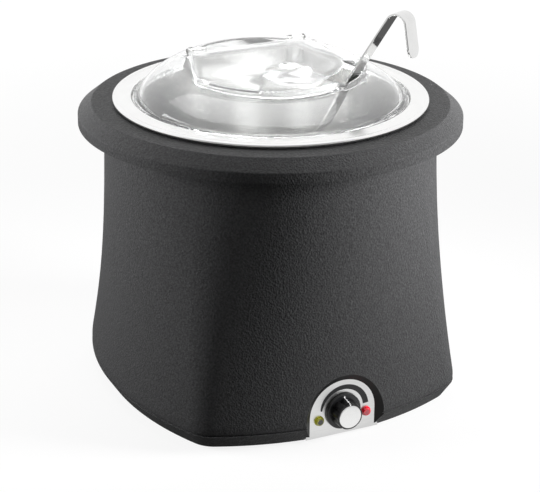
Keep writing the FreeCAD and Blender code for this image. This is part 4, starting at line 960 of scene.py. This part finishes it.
class KETTLE_OT_controls(bpy.types.Operator):
    """Brushed panel with its printed wedge, the fluted knob with a bright face, and two lamps"""

    bl_idname = "kettle.controls"
    bl_label = "Controls"

    def execute(self, context):
        sizes = context.scene.kettle_sizes
        colours = context.scene.kettle_colours
        brushed = steel("brushed_panel", colours.steel, roughness=0.3, stretch=(0.03, 1.0, 1.0),
                        scale=2200.0, depth=0.02)
        finish_nodes(brushed, "control_panel")
        ink = plain_plastic("dial_ink", (0.012, 0.012, 0.013), roughness=0.5)
        wedge = heat_wedge(sizes.dial_inner / MM, sizes.dial_width / MM)
        make_piece("heat_wedge", wedge, ink, "kettle_body", "panel_steel")
        spot = (0, PANEL_Y - KNOB_STANDOFF, KNOB_Z)
        place = forward_place(*spot)
        seat = KNOB_LENGTH - CAP_THICKNESS
        knob = rounded([
            (0, KNOB_HOLLOW_DEPTH, 0),
            (KNOB_HOLLOW_RADIUS, KNOB_HOLLOW_DEPTH, 0),
            (KNOB_HOLLOW_RADIUS, 0, 0),
            (KNOB_SKIRT_RADIUS, 0, KNOB_BACK_ROUND),
            (KNOB_SKIRT_RADIUS, KNOB_SKIRT_THICKNESS, KNOB_SKIRT_ROUND),
            (KNOB_GRIP_RADIUS, KNOB_SKIRT_THICKNESS, 0),
            (KNOB_GRIP_RADIUS, KNOB_SKIRT_THICKNESS + KNOB_GRIP_FOOT, 0),
            (KNOB_GRIP_TOP_RADIUS, KNOB_LENGTH, KNOB_GRIP_TOP_ROUND),
            (CAP_RADIUS, KNOB_LENGTH, 0),
            (CAP_RADIUS, seat, 0),
            (0, seat, 0),
        ])
        black = plain_plastic("knob_black", (0.011, 0.011, 0.012), roughness=0.3)
        make_piece("heat_knob", spun([knob], KNOB_ROUND_STEPS, flute_radius), black,
                   "knob", "knob_plastic", "control_knob", place=place)
        top = seat + CAP_CROWN + CAP_THICKNESS
        cap = rounded([(0, seat, 0), (CAP_RADIUS, seat, 0), (CAP_RADIUS, top, CAP_ROUND), (0, top, 0)])
        bright = turned_metal("turned_face", (0.9, 0.9, 0.895), roughness=0.36, centre=spot, pitch=0.35 * MM)
        make_piece("knob_face", spun([cap], MIDDLE_ROUND_STEPS), bright,
                   "knob", "knob_aluminium", "knob_cap", place=place)
        white = plain_plastic("pointer_white", (0.8, 0.8, 0.8), roughness=0.45)
        make_piece("knob_pointer", pointer_shape(), white, "knob", "knob_plastic", place=place)
        tail = -PANEL_THICKNESS - LAMP_BODY_LENGTH
        lamp = spun([rounded([
            (0, tail, 0),
            (LAMP_BODY_RADIUS, tail, LAMP_BODY_ROUND),
            (LAMP_BODY_RADIUS, 0, 0),
            (LENS_RADIUS, 0, 0),
            (LENS_RADIUS, LENS_RIM, LENS_RIM_ROUND),
            (LENS_TOP_RADIUS, LENS_RIM + LENS_CROWN, LENS_TOP_ROUND),
            (0, LENS_RIM + LENS_CROWN, 0),
        ])], SMALL_ROUND_STEPS)
        lamps = (
            ("power_light", "power_lamp", "lamp_red", colours.live_lamp, (0.36, 0.03, 0.045), 1),
            ("heating_light", "heating_lamp", "lamp_yellow", colours.warm_lamp, (0.07, 0.065, 0.02), -1),
        )
        for name, node, slot, colour, core, side in lamps:
            spot = (side * LAMP_SPACING / 2, PANEL_Y, KNOB_Z - LAMP_DROP)
            make_piece(name, lamp, lens(name + "_lens", colour, core, spot),
                       "kettle_body", slot, node, place=forward_place(*spot))
        return {"FINISHED"}


class KETTLE_OT_base(bpy.types.Operator):
    """Base plate, rubber feet and the screws that hold the plate"""

    bl_idname = "kettle.base"
    bl_label = "Base"

    def execute(self, context):
        finish_nodes(moulding("base_black", (0.02, 0.02, 0.021), roughness=0.55), "base_cover")
        finish_nodes(rubber("foot_rubber", (0.014, 0.014, 0.014)), "feet")
        zinc = steel("zinc_screw", (0.62, 0.62, 0.6), roughness=0.36, scale=1500.0)
        finish_nodes(zinc, "base_screws", "panel_screws")
        half = STANDOFF_SPACING / 2
        spots = [(sx * half, sy * half, 0) for sx in (-1, 1) for sy in (-1, 1)]
        low = SHELL_BOTTOM - SCREW_HEAD_HEIGHT
        arm_steps = CROSS_STEPS // CROSS_ARMS
        cross = []
        for k in range(CROSS_STEPS):
            r = CROSS_OUTER_RADIUS if k % arm_steps < arm_steps / 2 else CROSS_INNER_RADIUS
            a = 2 * math.pi * k / CROSS_STEPS
            cross.append((r * math.cos(a), r * math.sin(a)))
        # Painted shade: a dark cross-shaped slab on each screw head stands for the shade in its cross recess.
        recess = stacked([[(x, y, z) for x, y in cross] for z in (low - CROSS_PROUD, low + CROSS_DEPTH)])
        screw_shade = plain_plastic("screw_recess", (0.02, 0.02, 0.02), roughness=0.6)
        marks = scattered("screw_recesses", mesh_of("screw_recess", *recess), spots, screw_shade)
        settle(marks, "kettle_body", "fastener_steel")
        return {"FINISHED"}


class KETTLE_OT_lid(bpy.types.Operator):
    """Clear domed lid with its raised hatch, and the hinged flap with its finger grip"""

    bl_idname = "kettle.lid"
    bl_label = "Lid"

    def execute(self, context):
        colour = context.scene.kettle_colours.lid
        clear = clear_plastic("clear_lid", colour, haze=0.02, roughness=0.01)
        cloudy = clear_plastic("cloudy_lid", colour, haze=0.1, roughness=0.07)
        settle(new_object("clear_dome", copy_of("lid_dome"), clear), "lid", "lid_clear", "lid_dome")
        settle(new_object("clear_flap", copy_of("lid_flap"), cloudy), "flap", "lid_clear", "lid_flap")
        pin = steel("pin_steel", (0.66, 0.66, 0.65), roughness=0.25, stretch=(1.0, 0.05, 0.05), scale=1800.0)
        finish_nodes(pin, "hinge_pins")
        return {"FINISHED"}


# Ladle
def ladle_place():
    """Place of the ladle, made upright along its strap and leaned into the port."""
    lift = LADLE_Y * math.tan(math.radians(LID_TILT))
    spot = Vector((LADLE_X, LADLE_Y, LADLE_CROSSING_Z + lift)) * MM
    heading = Matrix.Rotation(math.radians(LADLE_HEADING), 4, "Z")
    lean = Matrix.Rotation(math.radians(LADLE_LEAN), 4, "Y")
    twist = Matrix.Rotation(math.radians(LADLE_TWIST), 4, "Z")
    return Matrix.Translation(spot) @ heading @ lean @ twist


def strap_stations():
    """Middle line of the strap as (place, outward direction, distance from the foot)."""
    turn = math.radians(HOOK_TURN)
    stations = []
    rise = STRAP_BELOW + STRAP_ABOVE
    tip = [HOOK_TIP_ROUND * (1 - math.cos(QUARTER * k / HOOK_TIP_STEPS)) for k in range(HOOK_TIP_STEPS + 1)]
    for along in tip + [rise * k / STRAP_STEPS for k in range(STRAP_FIRST_STEP, STRAP_STEPS + 1)]:
        stations.append((Vector((0, along - STRAP_BELOW)), Vector((1, 0)), along))
    centre = Vector((-HOOK_RADIUS, STRAP_ABOVE))
    for k in range(1, HOOK_STEPS + 1):
        angle = turn * k / HOOK_STEPS
        out = Vector((math.cos(angle), math.sin(angle)))
        stations.append((centre + out * HOOK_RADIUS, out, rise + HOOK_RADIUS * angle))
    end, out, reached = stations[-1]
    ahead = Vector((-out.y, out.x))
    arm = [HOOK_ARM * k / HOOK_ARM_STEPS for k in range(1, HOOK_ARM_PLAIN_STEPS + 1)]
    plain = arm[-1]
    arm += [HOOK_ARM - step for step in tip[::-1] if HOOK_ARM - step > plain]
    for along in arm:
        stations.append((end + ahead * along, out, reached + along))
    return stations


def strap_shape():
    """Flat strap with eased edges, swept along its line and rounded at both ends."""
    stations = strap_stations()
    total = stations[-1][2]
    half = STRAP_THICKNESS / 2
    levels = []
    for spot, out, along in stations:
        near = min(along, total - along, HOOK_TIP_ROUND)
        cut = HOOK_TIP_ROUND - math.sqrt(max(HOOK_TIP_ROUND ** 2 - (HOOK_TIP_ROUND - near) ** 2, 0))
        wide = STRAP_WIDTH / 2 - cut
        ring = []
        for sx, sy in ((1, 1), (-1, 1), (-1, -1), (1, -1)):
            first = (sx * half, sy * (wide - STRAP_EASE))
            second = (sx * (half - STRAP_EASE), sy * wide)
            ring += [first, second] if sx * sy > 0 else [second, first]
        levels.append([(spot.x + out.x * n, w, spot.y + out.y * n) for n, w in ring])
    return stacked(levels)


def bowl_curve(radius, depth):
    """Arc of the bowl from its lowest point to its edge."""
    curve = (radius ** 2 + depth ** 2) / (2 * depth)
    swing = math.asin(min(radius / curve, 1.0))
    turns = [swing * k / BOWL_STEPS for k in range(BOWL_STEPS + 1)]
    return [Vector((curve * math.sin(a), curve - depth - curve * math.cos(a))) for a in turns]


class KETTLE_OT_ladle(bpy.types.Operator):
    """Steel ladle that leans in the lid's port: a hooked strap and a round bowl"""

    bl_idname = "kettle.ladle"
    bl_label = "Ladle"

    def execute(self, context):
        colour = context.scene.kettle_colours.steel
        # Painted light: the ladle's steel is made lighter than the shared steel colour.
        polished = steel("polished_ladle_painted_light", shade(colour, LADLE_PAINTED_LIGHT), roughness=0.1, stretch=(0.2, 0.2, 0.2),
                         scale=500.0, depth=0.004, tone=0.03)
        place = ladle_place()
        make_piece("ladle_strap", strap_shape(), polished,
                   "ladle", "ladle_steel", "ladle_handle", place=place)
        outer_radius = BOWL_RADIUS + BOWL_WALL
        outline = bowl_curve(outer_radius, BOWL_DEPTH + BOWL_WALL) + bowl_curve(BOWL_RADIUS, BOWL_DEPTH)[::-1]
        shift = Vector((STRAP_THICKNESS / 2 + WELD_GAP + outer_radius, 0, BOWL_OVERLAP - STRAP_BELOW))
        make_piece("ladle_cup", spun([outline], MIDDLE_ROUND_STEPS), polished,
                   "ladle", "ladle_steel", "ladle_bowl", place=place @ Matrix.Translation(shift * MM))
        return {"FINISHED"}


class KETTLE_OT_works(bpy.types.Operator):
    """Finishes for the heater, thermostat, sensor, mains entry and fasteners inside"""

    bl_idname = "kettle.works"
    bl_label = "Inner works"

    def execute(self, context):
        zinc = steel("zinc_plate", (0.6, 0.6, 0.58), roughness=0.38, scale=1200.0)
        brass = steel("turned_brass", (0.68, 0.5, 0.24), roughness=0.28, stretch=ALONG_DEPTH, scale=1500.0)
        copper = steel("copper_tube", (0.72, 0.42, 0.28), roughness=0.32, stretch=UPRIGHT, scale=1200.0)
        sheath = steel("heater_sheath", (0.3, 0.28, 0.26), roughness=0.5, depth=0.03, tone=0.2)
        aluminium = steel("mill_aluminium", (0.74, 0.74, 0.74), roughness=0.4, stretch=(1.0, 0.04, 1.0))
        brown = plain_plastic("phenolic_brown", (0.045, 0.03, 0.024), roughness=0.45)
        black = plain_plastic("black_nylon", (0.02, 0.02, 0.02), roughness=0.5)
        white = plain_plastic("white_nylon", (0.76, 0.75, 0.7), roughness=0.5)
        finish_nodes(zinc, "standoffs", "thermostat_nut", "lamp_clips")
        finish_nodes(zinc, "plate_studs", "plate_nuts", "bulb_clip")
        finish_nodes(brass, "thermostat_spindle")
        finish_nodes(copper, "sensor_bulb")
        finish_nodes(sheath, "heating_element")
        finish_nodes(aluminium, "element_plate")
        finish_nodes(brown, "thermostat_body", "thermal_cutout")
        finish_nodes(black, "cord_gland", "gland_nut")
        finish_nodes(white, "terminal_block")
        return {"FINISHED"}


# Stage
def soft_box(name, place, aim, size, power, spread):
    """Rectangular studio light turned to its aim."""
    data = bpy.data.lights.new(name, "AREA")
    data.shape = "RECTANGLE"
    data.size, data.size_y = size
    data.energy = power
    data.spread = math.radians(spread)
    light = bpy.data.objects.new(name, data)
    light.location = place
    light.visible_glossy = False
    light.rotation_euler = (Vector(aim) - Vector(place)).to_track_quat("-Z", "Y").to_euler()
    bpy.context.scene.collection.objects.link(light)


def math_of(tree, operation, first, second):
    """Result of one operation on two values."""
    return add(tree, "ShaderNodeMath", first, second, options={"operation": operation})


def ranged(tree, value, limits, shape="LINEAR"):
    """Result of a value mapped over a range."""
    return add(tree, "ShaderNodeMapRange", value, *limits, options={"interpolation_type": shape})


def vector_math(tree, operation, *vectors, output="Value"):
    """Result of one operation on places or directions."""
    return add(tree, "ShaderNodeVectorMath", *vectors, output=output, options={"operation": operation})


def ray_parts(tree):
    """Whether a ray comes straight from the camera or through something clear, and whether it mirrors."""
    path = tree.nodes.new("ShaderNodeLightPath").outputs
    return math_of(tree, "MAXIMUM", path["Is Camera Ray"], path["Is Transmission Ray"]), path["Is Glossy Ray"]


def floor_finish():
    """Pale floor that takes shadows, is white far off and shows in steel as a studio sweep."""
    pale = bpy.data.materials.new("pale_floor")
    pale.use_nodes = True
    tree = pale.node_tree
    base = tree.nodes["Principled BSDF"]
    base.inputs["Roughness"].default_value = FLOOR_ROUGHNESS
    seen, mirrored = ray_parts(tree)
    tree.links.new(ranged(tree, seen, FLOOR_TONE), base.inputs["Base Color"])
    where = add(tree, "ShaderNodeTexCoord", output="Object")
    apart = vector_math(tree, "LENGTH", where)
    offset = vector_math(tree, "LENGTH", vector_math(tree, "ADD", where, SHEEN_SHIFT, output="Vector"))
    level = math_of(tree, "MAXIMUM", ranged(tree, offset, NEAR_SHEEN), ranged(tree, apart, FAR_SHEEN))
    sheen = add(tree, "ShaderNodeEmission", WHITE, level)
    glow = add(tree, "ShaderNodeEmission", WHITE, FLOOR_GLOW)
    dull = add(tree, "ShaderNodeMixShader", mirrored, base.outputs[0], sheen)
    share = math_of(tree, "MULTIPLY", seen, ranged(tree, apart, GLOW_SHARE))
    mixed = add(tree, "ShaderNodeMixShader", share, dull, glow)
    tree.links.new(mixed, tree.nodes["Material Output"].inputs["Surface"])
    return pale


def studio_world():
    """White backdrop with dim light of its own, which steel sees as bright above and at the back."""
    world = bpy.data.worlds.new("studio")
    world.use_nodes = True
    sky = world.node_tree
    dim = sky.nodes["Background"]
    dim.inputs["Color"].default_value = DIM_SKY
    seen, mirrored = ray_parts(sky)
    where = add(sky, "ShaderNodeTexCoord", output="Generated")
    height = add(sky, "ShaderNodeSeparateXYZ", where, output="Z")
    turn = math.radians(CAMERA_AZIMUTH)
    backwards = (-math.sin(turn), math.cos(turn), 0.0)
    depth = vector_math(sky, "DOT_PRODUCT", where, backwards)
    back = ranged(sky, depth, BACK_WALL, "SMOOTHSTEP")
    level = math_of(sky, "MAXIMUM", ranged(sky, height, SKY_HEIGHT), back)
    wall = add(sky, "ShaderNodeBackground", WHITE, level)
    white = add(sky, "ShaderNodeBackground", WHITE)
    other = add(sky, "ShaderNodeMixShader", mirrored, dim.outputs[0], wall)
    mixed = add(sky, "ShaderNodeMixShader", seen, other, white)
    sky.links.new(mixed, sky.nodes["World Output"].inputs["Surface"])
    return world


def photo_camera():
    """Camera at the photograph's place and angle."""
    eye = bpy.data.cameras.new("photo_camera")
    eye.sensor_fit = "HORIZONTAL"
    eye.sensor_width = CAMERA_SENSOR
    eye.lens = CAMERA_LENS
    eye.shift_x, eye.shift_y = CAMERA_SHIFT
    camera = bpy.data.objects.new("photo_camera", eye)
    turn = Matrix.Rotation(math.radians(CAMERA_AZIMUTH), 4, "Z")
    tip = Matrix.Rotation(QUARTER - math.radians(CAMERA_ELEVATION), 4, "X")
    roll = Matrix.Rotation(math.radians(CAMERA_ROLL), 4, "Z")
    camera.matrix_world = Matrix.Translation(CAMERA_PLACE) @ turn @ tip @ roll
    return camera


class KETTLE_OT_stage(bpy.types.Operator):
    """Pale floor, soft studio light and the photograph's camera"""

    bl_idname = "kettle.stage"
    bl_label = "Stage"

    def execute(self, context):
        scene = context.scene
        scene.view_settings.view_transform = "Standard"
        corners = [(sx * FLOOR_REACH, sy * FLOOR_REACH, 0) for sx, sy in ((-1, -1), (1, -1), (1, 1), (-1, 1))]
        floor = new_object("floor", mesh_of("floor", corners, [[0, 1, 2, 3]]), floor_finish())
        scene.world = studio_world()
        for box in SOFT_BOXES:
            soft_box(*box)
        camera = photo_camera()
        scene.collection.objects.link(camera)
        scene.camera = camera
        return {"FINISHED"}


PIECES = (
    KETTLE_OT_body_shell, KETTLE_OT_collar, KETTLE_OT_vessels, KETTLE_OT_controls, KETTLE_OT_base,
    KETTLE_OT_lid, KETTLE_OT_ladle, KETTLE_OT_works, KETTLE_OT_stage,
)


class KETTLE_PT_pieces(bpy.types.Panel):
    """Lists the kettle's pieces and their sizes and colours"""

    bl_idname = "KETTLE_PT_pieces"
    bl_label = "Soup kettle"
    bl_space_type = "VIEW_3D"
    bl_region_type = "UI"
    bl_category = "Kettle"

    def draw(self, context):
        for group in (context.scene.kettle_sizes, context.scene.kettle_colours):
            for label in group.bl_rna.properties.keys():
                if label not in ("rna_type", "name"):
                    self.layout.prop(group, label)
        for piece in PIECES:
            self.layout.operator(piece.bl_idname)


CLASSES = (KettleSizes, KettleColours, *PIECES, KETTLE_PT_pieces)


def register():
    for kind in CLASSES:
        bpy.utils.register_class(kind)
    bpy.types.Scene.kettle_sizes = bpy.props.PointerProperty(type=KettleSizes)
    bpy.types.Scene.kettle_colours = bpy.props.PointerProperty(type=KettleColours)


def unregister():
    del bpy.types.Scene.kettle_colours
    del bpy.types.Scene.kettle_sizes
    for kind in reversed(CLASSES):
        bpy.utils.unregister_class(kind)


def main():
    register()
    for piece in PIECES:
        group, action = piece.bl_idname.split(".")
        getattr(getattr(bpy.ops, group), action)()


if __name__ == "__main__":
    main()
